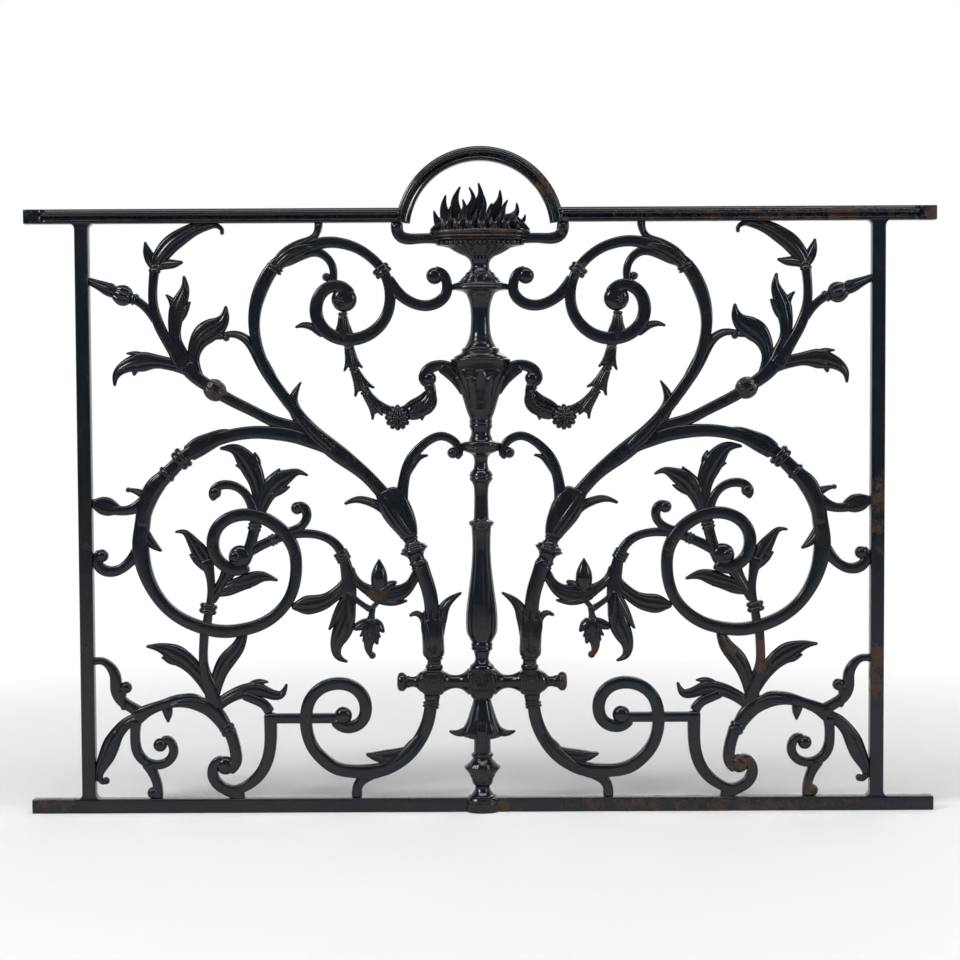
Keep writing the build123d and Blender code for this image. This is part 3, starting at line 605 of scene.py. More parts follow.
def painted_iron():
    """Old black gloss paint over cast iron, brown where it is thin and rusty in patches, with pale convex
    edges that are partly rubbed bare iron and partly a painted highlight.
    """
    material = bpy.data.materials.get("old_gloss_paint")
    if material:
        return material
    finish = bpy.context.scene.railing_finish
    material = bpy.data.materials.new("old_gloss_paint")
    nodes = Nodes(material)
    place = nodes.object_place()
    broad = nodes.noise(place, scale=9.0)
    middle = nodes.noise(place, scale=55.0, detail=5.0, roughness=0.6)
    fine = nodes.noise(place, scale=320.0, roughness=0.65)
    rust = rust_amount(nodes, place, middle, fine)

    worn = nodes.ramp(broad, low=0.42, high=0.72)
    worn = nodes.product(worn, nodes.ramp(middle, low=0.35, high=0.65), clamp=True)
    paint = nodes.mix(worn, (*finish.paint, 1), (*finish.worn_paint, 1))
    rust_share = nodes.ramp(fine, low=0.35, high=0.68)
    rust_colour = nodes.mix(rust_share, darker(finish.rust, 0.45), (*finish.rust, 1))
    # Convex edges, found by pointiness, are lightened towards the pale grey: partly bare iron, partly a
    # painted highlight along the ridges
    pointiness = nodes.add("ShaderNodeNewGeometry").outputs["Pointiness"]
    edge = nodes.ramp(pointiness, low=0.6, high=0.76)
    edge = nodes.product(edge, nodes.ramp(fine, low=0.45, high=0.7), clamp=True)
    colour_out = nodes.mix(rust, paint, rust_colour)
    colour_out = nodes.mix(nodes.product(edge, 0.13), colour_out, (*finish.bare_iron_and_painted_highlight, 1))

    rough = nodes.ramp(middle, low=0.3, high=0.7, start=finish.gloss - 0.04, end=finish.gloss + 0.06)
    rough = nodes.math("ADD", rough, nodes.product(rust, 0.42), clamp=True)

    lumps = nodes.product(nodes.noise(place, scale=45.0, detail=1.0, roughness=0.4), 0.30)
    grain = nodes.product(nodes.product(rust, fine), 0.22)
    height = nodes.math("ADD", lumps, grain)
    bump = nodes.add("ShaderNodeBump", {"Strength": 1.0, "Distance": MM, "Height": height}).outputs["Normal"]
    shader = nodes.add("ShaderNodeBsdfPrincipled",
                       {"Base Color": colour_out, "Roughness": rough, "Normal": bump,
                        "Specular IOR Level": 0.31, "Coat Weight": 0.15, "Coat Roughness": 0.08,
                        "Coat Normal": bump})
    nodes.surface(shader, "BSDF")
    return material


# Rails and beams


def rail_section(height, depth):
    """Outline of the top rail across its depth: flat faces, a raised round moulding and a lip below."""
    half = depth / 2
    flat = half - 1.3
    bead_across = 3.6
    bead_out = 4.1
    face = [(-height / 2, half - 1.2), (-height / 2 + 0.8, half), (-height / 2 + 4.2, half),
            (-height / 2 + 5.2, flat), (-0.6, flat)]
    for k in range(9):
        swing = pi * k / 8
        face.append((3.0 - bead_across * cos(swing), flat + bead_out * sin(swing)))
    face += [(height / 2 - 1.4, flat), (height / 2, half - 2.6)]
    back = [(across, -out) for across, out in reversed(face)]
    return np.array(face + back)


def box_section(width, depth, corner):
    """Outline of a plain bar with rounded corners."""
    outline = []
    for sign_w, sign_d, start in ((1, 1, 0), (-1, 1, 90), (-1, -1, 180), (1, -1, 270)):
        for k in range(5):
            swing = radians(start + 22.5 * k)
            outline.append((sign_w * (width / 2 - corner) + corner * cos(swing),
                            sign_d * (depth / 2 - corner) + corner * sin(swing)))
    return np.array(outline)


def beam(cast, places, headings, outline, widen=None):
    """A straight or curved rail: an outline of (across, out) pairs carried along places."""
    rings = np.zeros((len(places), len(outline), 3))
    for i, (place, heading) in enumerate(zip(places, headings)):
        across = outline[:, 0].copy()
        if widen is not None:
            across += np.sign(across) * widen[i]
        rings[i, :, 0] = place[0] - heading[1] * across
        rings[i, :, 2] = place[1] + heading[0] * across
        rings[i, :, 1] = -outline[:, 1]
    cast.shell(rings)


def level_beam(cast, xs, z, outline, widen=None):
    """A beam along the rails, at one height."""
    beam(cast, [(x, z) for x in xs], [(1, 0)] * len(xs), outline, widen)


def upright_beam(cast, x, zs, outline, widen=None):
    """A beam straight up."""
    beam(cast, [(x, z) for z in zs], [(0, 1)] * len(zs), outline, widen)


class PieceOperator:
    """What every operator of a piece shares: it draws the shells and hands them over to the nodes."""

    bl_options = {"REGISTER", "UNDO"}
    nodes = ()

    def shapes(self, cast):
        raise NotImplementedError

    def execute(self, context):
        cast = Casting(context)
        self.shapes(cast)
        if not cast.points:
            raise RuntimeError(self.bl_idname + " drew nothing")
        cast.finish(*self.nodes)
        return {"FINISHED"}


def both(name):
    """The two nodes of a piece that stands on each side."""
    return (name + "_left", name + "_right")


# Rails, stiles and arch


END_BEVEL = 0.7


class RAILING_OT_bottom_rail(PieceOperator, bpy.types.Operator):
    """Plain bottom rail with bevelled ends"""

    bl_idname = "railing.bottom_rail"
    bl_label = "Bottom rail"
    nodes = ("bottom_rail",)

    def shapes(self, cast):
        end = LAYOUT_RAIL_HALF
        bevels = (-end, -end + END_BEVEL, end - END_BEVEL, end)
        xs = np.unique(np.concatenate([bevels, np.arange(-625.0, 626.0, 12.5)]))
        widen = np.where(np.abs(xs) == end, -END_BEVEL, 0.0)
        level_beam(cast, xs, LAYOUT_FLOOR / 2, box_section(LAYOUT_FLOOR, RAIL_DEPTH, 2.0), widen)


class RAILING_OT_top_rail(PieceOperator, bpy.types.Operator):
    """Top rail with its raised moulding and plain end pad"""

    bl_idname = "railing.top_rail"
    bl_label = "Top rail"
    nodes = both("top_rail")

    def shapes(self, cast):
        middle = LAYOUT_TOP + RAIL_HEIGHT / 2
        pad = 24.0
        inner_end = -111.0
        start = -LAYOUT_RAIL_HALF
        xs = [start, start + END_BEVEL, start + pad / 2, start + pad]
        level_beam(cast, xs, middle, box_section(RAIL_HEIGHT, RAIL_DEPTH, 1.6), [-END_BEVEL, 0, 0, 0])
        xs = np.linspace(start + pad - 0.5, inner_end, 60)
        level_beam(cast, xs, middle, rail_section(RAIL_HEIGHT, RAIL_DEPTH))


class RAILING_OT_stile(PieceOperator, bpy.types.Operator):
    """Stile between the rails, flared where it meets them"""

    bl_idname = "railing.stile"
    bl_label = "Stile"
    nodes = both("stile")

    def shapes(self, cast):
        middle = -553.5
        width = 19.0
        flare = 8.0
        overlap = 0.4
        low = LAYOUT_FLOOR - overlap
        high = LAYOUT_TOP + overlap
        near = np.array([0.0, 0.3, 0.8, 1.6, 2.8, 4.4, 6.2, 8.0])
        zs = np.unique(np.concatenate([low + near, np.linspace(low + 9, high - 9, 56), high - near]))
        gap = np.clip(np.minimum(zs - low, high - zs), 0, flare)
        widen = flare - np.sqrt(flare ** 2 - (flare - gap) ** 2)
        upright_beam(cast, middle, zs, box_section(width, RAIL_DEPTH, 2.2), widen)


class RAILING_OT_arch_rail(PieceOperator, bpy.types.Operator):
    """Half-round arch over the bowl, moulded like the top rail"""

    bl_idname = "railing.arch_rail"
    bl_label = "Arch"
    nodes = ("arch_rail",)

    def shapes(self, cast):
        radius = 107.7
        width = 19.5
        centre = LAYOUT_TOP - 13.0
        foot = 6.6
        angles = np.radians(np.linspace(180 - foot, foot, 90))
        places = [(radius * cos(a), centre + radius * sin(a)) for a in angles]
        headings = [(sin(a), -cos(a)) for a in angles]
        beam(cast, places, headings, rail_section(width, RAIL_DEPTH + 0.6))


# Standard on the centre line


def ribs(count, height, sharpness, low, high):
    """Relief of upright ribs round a turned piece, fading out below low and above high."""
    def relief(turn, z):
        fade = np.clip((z - low) / RIB_FADE, 0, 1) * np.clip((high - z) / RIB_FADE, 0, 1)
        return height * fade * (np.abs(np.cos(turn * count / 2)) ** sharpness - RIB_SUNK)
    return relief


def leaves(count, height, low, high, veins):
    """Relief of upright leaves round a turned piece, each with veins and a curled tip."""
    def relief(turn, z):
        share = np.clip((z - low) / (high - low), 0, 1)
        inside = np.clip((z - low) / LEAF_FADE, 0, 1) * np.clip((high - z) / LEAF_FADE, 0, 1)
        swing = (turn * count / (2 * pi)) % 1.0 - 0.5
        half_width = np.maximum(0.5 * (1 - 0.75 * share ** 3), 0.05)
        body = np.clip(1 - (np.abs(swing) / half_width) ** 4, 0, 1)
        vein = 0.75 + 0.25 * np.abs(np.cos(swing * pi * veins * 2))
        return height * inside * (body * vein * (0.55 + 0.9 * share ** 2) - LEAF_SUNK)
    return relief


class RAILING_OT_foot_collar(PieceOperator, bpy.types.Operator):
    """Collar round the bottom rail under the standard"""

    bl_idname = "railing.foot_collar"
    bl_label = "Foot collar"
    nodes = ("foot_collar",)

    def shapes(self, cast):
        cast.turned([(24, 0), (25, 0.6), (25, 13), (24.2, 14), (25, 15), (25, 17), (22, 20.4)])


class RAILING_OT_turned_foot(PieceOperator, bpy.types.Operator):
    """Turned foot of the standard with its rings and leafy cup"""

    bl_idname = "railing.turned_foot"
    bl_label = "Turned foot"
    nodes = ("turned_foot",)

    def shapes(self, cast):
        def relief(turn, z):
            return ribs(14, 2.6, 0.5, 46, 69)(turn, z) + ribs(8, 0.8, 0.8, 84, 103)(turn, z)
        cast.turned([(18, 19.6), (19, 20.6), (18.6, 22.5), (16, 24), (12.5, 28), (10, 33), (11, 36),
                     (13.4, 39), (14.6, 40), (13.6, 41.5), (15.2, 43), (15.2, 44.5), (16.5, 49), (18.6, 54),
                     (22, 58), (25, 61.5), (24.6, 63.5), (20, 68), (16, 72), (13, 76), (15, 77.5),
                     (15.6, 79.8), (15, 82), (11.8, 83.2), (11.5, 104)], relief)


class RAILING_OT_leaf_skirt(PieceOperator, bpy.types.Operator):
    """Skirt of hanging leaves round the standard"""

    bl_idname = "railing.leaf_skirt"
    bl_label = "Leaf skirt"
    nodes = ("leaf_skirt",)

    def shapes(self, cast):
        top = 158
        hem = 106
        lobes = 6

        def relief(turn, z):
            hang = np.clip((top - z) / (top - hem), 0, 1)
            lobe = np.abs(np.cos(turn * lobes / 2)) ** 0.45
            vein = np.abs(np.cos(turn * lobes * 2))
            return hang * (4.2 * (lobe - 0.75) + 0.9 * vein)
        cast.turned([(11.5, 103.6), (14, 104), (24, 105), (27.4, 107), (28.6, 112), (26.5, 118),
                     (22.5, 125), (19.5, 133), (16.5, 143), (14, 151), (12.5, 158)], relief, around=96)
        for side in (-1, 1):
            tip = [(side * 16, 117), (side * 26, 112), (side * 36, 110.5), (side * 46.5, 113.5)]
            cast.leaf(tip, (18, 13, 9, 3), 15)
        cast.face_leaves([(0, 140), (0, 126), (-0.5, 114), (0, 100)], (12, 17, 16, 3), 9, (12, 17, 21, 17))


class RAILING_OT_centre_boss(PieceOperator, bpy.types.Operator):
    """Square block with a rosette where the cross arm meets the standard"""

    bl_idname = "railing.centre_boss"
    bl_label = "Centre boss"
    nodes = ("centre_boss",)

    def shapes(self, cast):
        cast.turned([(12, 157.6), (13, 159), (15.6, 162), (16.6, 165), (17.6, 168), (17.6, 203),
                     (16.4, 206.5), (12, 210), (10, 213), (9.4, 217), (10.4, 222), (11.5, 226.4)])
        zs = [168.2, 169.4, 170, 185, 200, 200.6, 201.8]
        upright_beam(cast, 0, zs, box_section(37.4, 34.0, 2.2), [-2, -0.6, 0, 0, 0, -0.6, -2])
        middle = 185.5
        for lift in (-17.4, 17.4):
            for x in (-15.6, 15.6):
                cast.stem([(x, 172.5), (x, middle), (x, 198.5)], (3.4, 3.4, 3.4), 5, lift=(lift, lift))
            for z in (172, 199):
                cast.stem([(-16, z), (0, z), (16, z)], (3.2, 3.2, 3.2), 5, lift=(lift, lift))
        cast.boss(0, middle, 13.4, 45.0, petals=8, dome=0.8)
        cast.boss(0, middle, 8.4, 49.0, petals=6, dome=0.9)
        cast.boss(0, middle, 3.6, 51.0)


class RAILING_OT_baluster_bead(PieceOperator, bpy.types.Operator):
    """Bead under the baluster"""

    bl_idname = "railing.baluster_bead"
    bl_label = "Baluster bead"
    nodes = ("baluster_bead",)

    def shapes(self, cast):
        cast.turned([(11, 225.6), (12, 227), (14.4, 228.6), (15.2, 231), (14.2, 233), (15.4, 235),
                     (14.8, 237.4), (14, 239.4)])


class RAILING_OT_baluster(PieceOperator, bpy.types.Operator):
    """Long baluster with upright flutes"""

    bl_idname = "railing.baluster"
    bl_label = "Baluster"
    nodes = ("baluster",)

    def shapes(self, cast):
        cast.turned([(13.6, 238.6), (15, 240.5), (18, 246), (20.4, 251), (21.6, 257), (22, 266),
                     (21.8, 278), (20.6, 291), (18.2, 308), (15.6, 328), (13.4, 348), (12.3, 368),
                     (12.5, 387), (13.4, 398), (14.4, 402.4)], ribs(12, 1.9, 0.7, 247, 399), around=84,
                    step=2.4)


class RAILING_OT_baluster_neck(PieceOperator, bpy.types.Operator):
    """Neck over the baluster: a cup of small leaf tips, a plain shaft and a double bead"""

    bl_idname = "railing.baluster_neck"
    bl_label = "Baluster neck"
    nodes = ("baluster_neck",)

    def shapes(self, cast):
        cast.turned([(14, 401.6), (16.2, 404), (17.4, 407), (16, 409.4), (11.6, 411), (10.6, 413),
                     (9.9, 430), (9.7, 446), (10.2, 456), (11.2, 460), (12.9, 463.6), (15.8, 466.6),
                     (16.4, 469), (15.2, 471), (16.6, 473), (15.6, 476), (13.6, 479.4), (12, 481),
                     (10.6, 483), (9.3, 491), (9.8, 497), (10.9, 500.4)], ribs(10, 2.2, 0.5, 401, 410.5),
                    around=80)


class RAILING_OT_vase_foot(PieceOperator, bpy.types.Operator):
    """Foot of the vase: a wide dish with a rope edge, and a round stem with a bead"""

    bl_idname = "railing.vase_foot"
    bl_label = "Vase foot"
    nodes = ("vase_foot",)

    def shapes(self, cast):
        cast.turned([(10.6, 499.6), (12.4, 502), (15.7, 504), (21, 506), (25.6, 508.4), (27.6, 511.4),
                     (26.6, 513), (28, 515), (27, 518.6), (24, 520.4), (18, 521), (16.2, 523), (15.6, 526),
                     (13.8, 530), (13.4, 534), (13.8, 537), (15.4, 540), (16.4, 543), (15.2, 545),
                     (16.2, 548), (15.4, 551), (16, 553.4)], ribs(28, 1.4, 0.6, 509, 519), around=112)


class RAILING_OT_leaf_vase(PieceOperator, bpy.types.Operator):
    """Vase with standing leaves all round"""

    bl_idname = "railing.leaf_vase"
    bl_label = "Leaf vase"
    nodes = ("leaf_vase",)

    def shapes(self, cast):
        def relief(turn, z):
            outer = leaves(8, 6.0, 556, 612, 3)(turn, z)
            inner = leaves(8, 4.4, 575, 621, 2)(turn + pi / 8, z)
            return np.maximum(outer, inner) - 0.4
        cast.turned([(15.6, 552.6), (17.4, 557), (20.5, 566), (24.5, 581), (28, 593), (32.4, 603),
                     (36, 612), (37.4, 618), (37, 622.4)], relief, around=120)


class RAILING_OT_vase_cover(PieceOperator, bpy.types.Operator):
    """Stepped cover of the vase"""

    bl_idname = "railing.vase_cover"
    bl_label = "Vase cover"
    nodes = ("vase_cover",)

    def shapes(self, cast):
        cast.turned([(36.6, 621.6), (37.4, 626), (39, 630), (42, 633.6), (41.6, 635.4), (37.8, 636.4),
                     (37, 638.4), (33, 641), (28.6, 643), (26, 645.6), (26.4, 648), (25.2, 650.6),
                     (22, 652), (20.4, 655), (17.8, 660), (15.7, 666)])


class RAILING_OT_upper_shaft(PieceOperator, bpy.types.Operator):
    """Waisted shaft over the vase cover"""

    bl_idname = "railing.upper_shaft"
    bl_label = "Upper shaft"
    nodes = ("upper_shaft",)

    def shapes(self, cast):
        cast.turned([(16, 665.4), (14.2, 672), (13.3, 684), (13.1, 696), (13.8, 707), (15.6, 716),
                     (18.2, 722), (19, 724.6)], around=56, step=2.0)


class RAILING_OT_bowl_pedestal(PieceOperator, bpy.types.Operator):
    """Plate and leafy cone under the flame bowl"""

    bl_idname = "railing.bowl_pedestal"
    bl_label = "Bowl pedestal"
    nodes = ("bowl_pedestal",)

    def shapes(self, cast):
        cast.turned([(18.4, 724), (21, 727), (25.7, 729.6), (33, 731), (38.5, 732.2), (39.2, 735.5),
                     (37.6, 737), (38.8, 739), (36, 741), (31.4, 742), (27.4, 745), (24.3, 748.6),
                     (20.6, 751), (18.6, 753.6), (16.6, 756), (15, 759), (13, 762.4)],
                    leaves(10, 5.0, 740.5, 757, 2), around=110)


class RAILING_OT_flame_bowl(PieceOperator, bpy.types.Operator):
    """Shallow bowl with a lobed underside and a ringed rim"""

    bl_idname = "railing.flame_bowl"
    bl_label = "Flame bowl"
    nodes = ("flame_bowl",)

    def shapes(self, cast):
        bead_row = 63.5
        bead_height = 796.4
        bead_pitch = 6.5
        for k in range(-9, 10):
            x = bead_pitch * k
            reach = bead_row * flat_share(bead_row) * np.sqrt(1 - (x / bead_row) ** 2)
            for y in (-reach, reach):
                cast.boss(x, bead_height, 2.7, 5, petals=2, dome=0.6, y=y)
        cast.turned([(13.4, 761.6), (12.7, 765), (13, 768.6), (15, 773), (19, 778), (26, 780.6),
                     (34.5, 785), (41.6, 789.6), (51, 791.8), (59, 793), (61.4, 794.2), (61.8, 796.6),
                     (61.8, 799), (66, 800.2), (67.8, 800.8), (67.8, 801.8), (65.2, 802.4), (65.2, 803.2),
                     (68.8, 804.2), (69.2, 805.8), (68.8, 806.8), (66, 807.6), (66, 808.4), (70, 809.4),
                     (70.4, 811.4), (69.6, 813.4), (66, 814.8), (50, 815.2)], ribs(22, 4.4, 0.5, 774, 795),
                    around=132, step=1.2)


class RAILING_OT_flames(PieceOperator, bpy.types.Operator):
    """Tongues of flame, streaked along their length"""

    bl_idname = "railing.flames"
    bl_label = "Flames"
    nodes = ("flames",)

    def shapes(self, cast):
        tongues = (
            ((-53, 812), (-57, 822), (-61, 832), (-64, 842), 12),
            ((-41, 812), (-47, 832), (-50, 847), (-47, 863), 16),
            ((-47, 812), (-43, 828), (-42, 838), (-39, 850), 12),
            ((-29, 812), (-33, 838), (-34, 858), (-27, 875), 17),
            ((-22, 812), (-25, 830), (-21, 846), (-24, 857), 13),
            ((-13, 812), (-16, 840), (-9, 858), (-15, 874), 13),
            ((-4, 812), (-6, 842), (1, 860), (-2, 880), 18),
            ((4, 812), (3, 834), (7, 848), (5, 863), 10),
            ((9, 812), (14, 828), (13, 840), (17, 852), 12),
            ((14, 812), (17, 836), (27, 854), (28, 870), 18),
            ((24, 812), (30, 832), (33, 845), (39, 856), 12),
            ((32, 812), (40, 828), (51, 839), (51, 852), 15),
            ((42, 812), (50, 822), (60, 827), (63, 836), 12),
        )
        for k, (start, low, high, end, width) in enumerate(tongues):
            lift = 4.5 * ((k * 2) % 3 - 1)
            cast.leaf([start, low, high, end], (width, width * 1.14, width * 0.68, 2), 13 + 2 * (k % 3),
                      veins=5, lift=(lift, lift, lift * 0.5))
        for k in range(13):
            x = -52 + 8.5 * k
            bend = 3.5 if k % 2 else -3.0
            tip = (x * 1.08 + bend + 3, 832 + 5.5 * ((k * 2) % 4))
            cast.face_leaves([(x, 811), (x - bend * 0.7, 820), (x + bend * 0.4, 829), tip],
                             (9, 9.5, 7, 1.6), 8, (9, 10, 9, 6))
        low_curls = (
            (((-33, 815), (-46, 822), (-58, 820.5), (-69, 813.6)), 12),
            (((30, 815), (44, 825), (58, 822), (69, 813.6)), 14),
            (((26, 820), (38, 832), (50, 831), (59, 825)), 11),
            (((14, 813), (32, 820), (48, 822), (62, 817)), 15),
            (((-14, 813), (-32, 819), (-46, 820), (-58, 816)), 13),
        )
        for route, width in low_curls:
            cast.leaf(route, (width * 0.8, width, width * 0.8, 3), 21)


# Sides


class RAILING_OT_bowl_bracket(PieceOperator, bpy.types.Operator):
    """Bent bracket from the bowl's rim up to the top rail"""

    bl_idname = "railing.bowl_bracket"
    bl_label = "Bowl bracket"
    nodes = both("bowl_bracket")

    def shapes(self, cast):
        cast.bar([(-115, 826.5), (-115, 815), (-111, 807), (-102, 803), (-85, 803), (-58, 803)],
                 (17, 17, 16.5, 14.5, 14, 15), 15, squareness=0.6)
        cast.boss(-115, 818, 8.6, 17)


class RAILING_OT_cross_arm(PieceOperator, bpy.types.Operator):
    """Turned cross arm with a knob, a square block and a short post"""

    bl_idname = "railing.cross_arm"
    bl_label = "Cross arm"
    nodes = both("cross_arm")

    def shapes(self, cast):
        height = 183.3
        cast.round_on((0, height), (1, 0),
                      [(4, -119.4), (9, -118.8), (12.4, -116.6), (13.4, -113.6), (13.2, -110), (10.6, -107),
                       (8.4, -105), (8.8, -103.4), (7.4, -100), (7.2, -96), (8.4, -92.4), (10, -91),
                       (13, -88), (15, -84.5), (14.4, -82)], flat=0.9, around=40)
        cast.round_on((0, height), (1, 0),
                      [(13, -55), (14.6, -53), (13.6, -50.6), (11.6, -47), (9.8, -42), (9.2, -37),
                       (10, -31), (12, -26.6), (15, -23), (18.4, -19.6), (18.4, -14)], flat=0.9, around=40)
        xs = [-83.6, -81.4, -80, -68, -57, -55.4, -53.6]
        level_beam(cast, xs, height, box_section(34.0, 26.0, 1.8), [-3, -1, 0, 0, 0, -1, -3])
        for lift in (-13, 13):
            for x in (-77, -60):
                cast.stem([(x, 170.4), (x, 196.4)], (3, 3), 4.4, lift=(lift, lift))
            for z in (170.6, 196.2):
                cast.stem([(-77, z), (-60, z)], (3, 3), 4.4, lift=(lift, lift))
        cast.boss(-68.5, 183.4, 6.0, 28.6, dome=0.3)
        cast.ring((-67, 200), (-67, 208.4), 12.4)
        cast.ring((-67, 206), (-67, 216), 9.8, rim=0.94)
        cast.ring((-67, 214), (-67, 219.4), 12.0)
        cast.ring((-70.7, 152.4), (-70.2, 160), 10.4, rim=0.86)
        cast.ring((-70.5, 158), (-70, 168), 11.4, rim=0.9)


class RAILING_OT_trunk(PieceOperator, bpy.types.Operator):
    """Trunk: fluted sheath, stem, ringed collar, leafy body and the scroll at the neck"""

    bl_idname = "railing.trunk"
    bl_label = "Trunk"
    nodes = both("trunk")

    def shapes(self, cast):
        cast.sheath([(-68, 222), (-68.3, 238), (-68.8, 256), (-69.5, 274)], (29, 31, 31, 25), 23)
        cast.round_on((-68, 0), (0, 1), [(9, 215.6), (9.4, 217), (12.4, 218), (14.6, 221), (15.6, 226),
                                         (15.4, 234), (14, 242)], flat=0.84, around=40)
        cast.boss(-69, 230, 9.4, 33, petals=7, dome=0.8)
        cast.boss(-69, 230, 3.4, 35)
        cast.leaf([(-76, 250), (-80, 268), (-86, 277.5), (-92.5, 280), (-101.5, 276)], (16, 14, 11, 9, 4),
                  14)
        cast.leaf([(-62, 246), (-60, 264), (-56, 281), (-47.5, 295), (-38, 303), (-28, 309)],
                  (18, 19, 21, 15, 10, 3), 14)
        for x, tip_x, tip_z in ((-77, -80.5, 283), (-69.5, -69, 289), (-61, -60, 284)):
            cast.face_leaves([(x, 226), (x, 246), (tip_x, 266), (tip_x, tip_z)], (8, 12, 11, 2.4), 8,
                             (9.5, 10, 8.5, 6))
        cast.bar([(-70, 262), (-70, 285), (-73.3, 310), (-79.7, 331), (-86.7, 353)],
                 (21, 20.5, 21, 21.5, 22), 17, squareness=0.6)
        cast.round_on((-88.4, 349.6), (-0.296, 0.955),
                      [(9, -9), (10.8, -7.5), (12, -5), (10.6, -2.4), (10.8, 0), (12.8, 1.6), (12.6, 3.2),
                       (11, 4.8), (11, 10), (13, 14), (18.6, 18.6), (20.4, 20.4), (19.2, 22.4), (17, 23),
                       (17.6, 24.6), (15.6, 26.4), (11.6, 28), (12, 29.4), (9.6, 31.6), (9.4, 34.6),
                       (11, 36.4), (10.8, 38.2), (9.4, 40), (9, 43)], flat=0.8)
        cast.sheath([(-99.5, 385), (-105, 400), (-114.5, 418), (-125, 438), (-132, 456)],
                    (22, 35, 43, 44, 22), 21, veins=7)
        cast.leaf([(-105, 392), (-121, 408), (-134, 425), (-155, 436.5), (-174, 440), (-191.5, 434)],
                  (12, 19, 17, 13, 11, 4), 15)
        cast.face_leaves([(-101, 388), (-117, 408), (-132, 430), (-150, 458)], (14, 20, 17, 3), 9,
                         (7, 9, 8, 4))
        cast.bar([(-113, 412), (-110.5, 448), (-106, 475), (-98.5, 495.5), (-86, 511.5), (-71, 523.5),
                  (-55, 528.5), (-40.5, 523.5), (-31.5, 513), (-30.5, 503), (-36, 499)],
                 (22, 20, 17, 15.5, 15.5, 14.5, 13, 12.5, 12.5, 12, 10), 14)
        cast.boss(-39.3, 505, 8, 20)
        cast.leaf([(-109, 455), (-105, 475), (-95, 490), (-86, 498.6), (-73.6, 501.6)], (11, 14, 13, 10, 3),
                  16)


class RAILING_OT_upper_scroll(PieceOperator, bpy.types.Operator):
    """Upper scroll, from the trunk to the top rail and round into its eye"""

    bl_idname = "railing.upper_scroll"
    bl_label = "Upper scroll"
    nodes = both("upper_scroll")

    def shapes(self, cast):
        cast.bar([(-127, 438), (-131, 442), (-157, 470.5), (-185, 494), (-216, 518.5), (-245, 548),
                  (-270, 579), (-291.5, 610), (-305, 637), (-313, 665), (-315, 690), (-311, 717),
                  (-301, 743), (-286.5, 765), (-265.5, 780.5), (-240, 792), (-212, 798.5), (-188, 796),
                  (-167, 788), (-149, 775), (-135, 758.5), (-127, 738), (-125.5, 717), (-130.5, 697),
                  (-143.5, 679), (-162, 667.5), (-184, 663.5), (-204, 668), (-219, 679), (-227.5, 695),
                  (-228, 712), (-221, 728), (-206, 737.5), (-189, 735), (-180, 725)],
                 (20, 18.5, 27, 17, 16, 14.5, 15.5, 21, 18, 16.5, 14.5, 14.5, 16, 18, 18.5, 18, 16))
        cast.boss(-189.5, 719.5, 17.8, 19, dome=0.25)
        cast.boss(-195.5, 716, 10.5, 26, petals=7)
        cast.leaf([(-219, 668), (-228, 678), (-237, 682.5), (-247, 684), (-258, 680.6)], (8, 14, 11, 9, 3),
                  13)
        cast.leaf([(-240, 540), (-255, 558), (-262, 578), (-258, 592), (-250.4, 605)], (14, 21, 17, 11, 2),
                  15)
        cast.face_leaves([(-206, 509), (-222, 524), (-238, 540), (-256, 566)], (16, 20, 15, 3), 8,
                         (5, 7, 7, 4))
        cast.leaf([(-272, 570), (-285, 597), (-299, 622), (-313, 647), (-326, 664), (-341, 671.5),
                   (-358, 670.5)], (3, 13, 18, 19, 15, 12, 8), 15, veins=2)
        cast.boss(-354.3, 666.5, 5, 14)
        cast.ring((-288.6, 758), (-284, 766.4), 12.6, beads=2)
        cast.leaf([(-286, 766), (-274, 780), (-259, 791), (-243, 799.5), (-230, 807), (-225, 817),
                   (-224, 827)], (12, 17, 17, 15, 10, 10, 13), 19)
        cast.face_leaves([(-284, 764), (-268, 778), (-250, 787), (-226, 794)], (14, 20, 17, 3), 9,
                         (5, 8, 8, 4))
        cast.ring((-140.4, 764.4), (-132.4, 753.2), 12.8, beads=2, rim=0.88, flat=0.78)
        cast.stem([(-282, 764), (-264, 774), (-246, 782.5), (-227, 785), (-211.5, 776), (-204.3, 761),
                   (-205, 742)], (6, 15, 16, 13.5, 12, 11, 11))
        cast.boss(-214, 750.5, 6, 15)
        cast.husk((-191.5, 699), (-190, 668), 12, 26)


class RAILING_OT_urn_scroll(PieceOperator, bpy.types.Operator):
    """Small scroll from the upper scroll to the pedestal, curled back over itself"""

    bl_idname = "railing.urn_scroll"
    bl_label = "Urn scroll"
    nodes = both("urn_scroll")

    def shapes(self, cast):
        cast.bar([(-129, 749), (-112, 726), (-96, 715), (-77, 710), (-60, 714), (-47.7, 726), (-46.3, 741),
                  (-54, 756), (-64, 759)], (16, 17, 16, 15.5, 15.5, 16, 15, 14, 12), 15)
        cast.boss(-63.5, 751.3, 11.8, 20, dome=0.4)
        cast.stem([(-46, 735.6), (-34, 735.6)], (8, 9), 12)


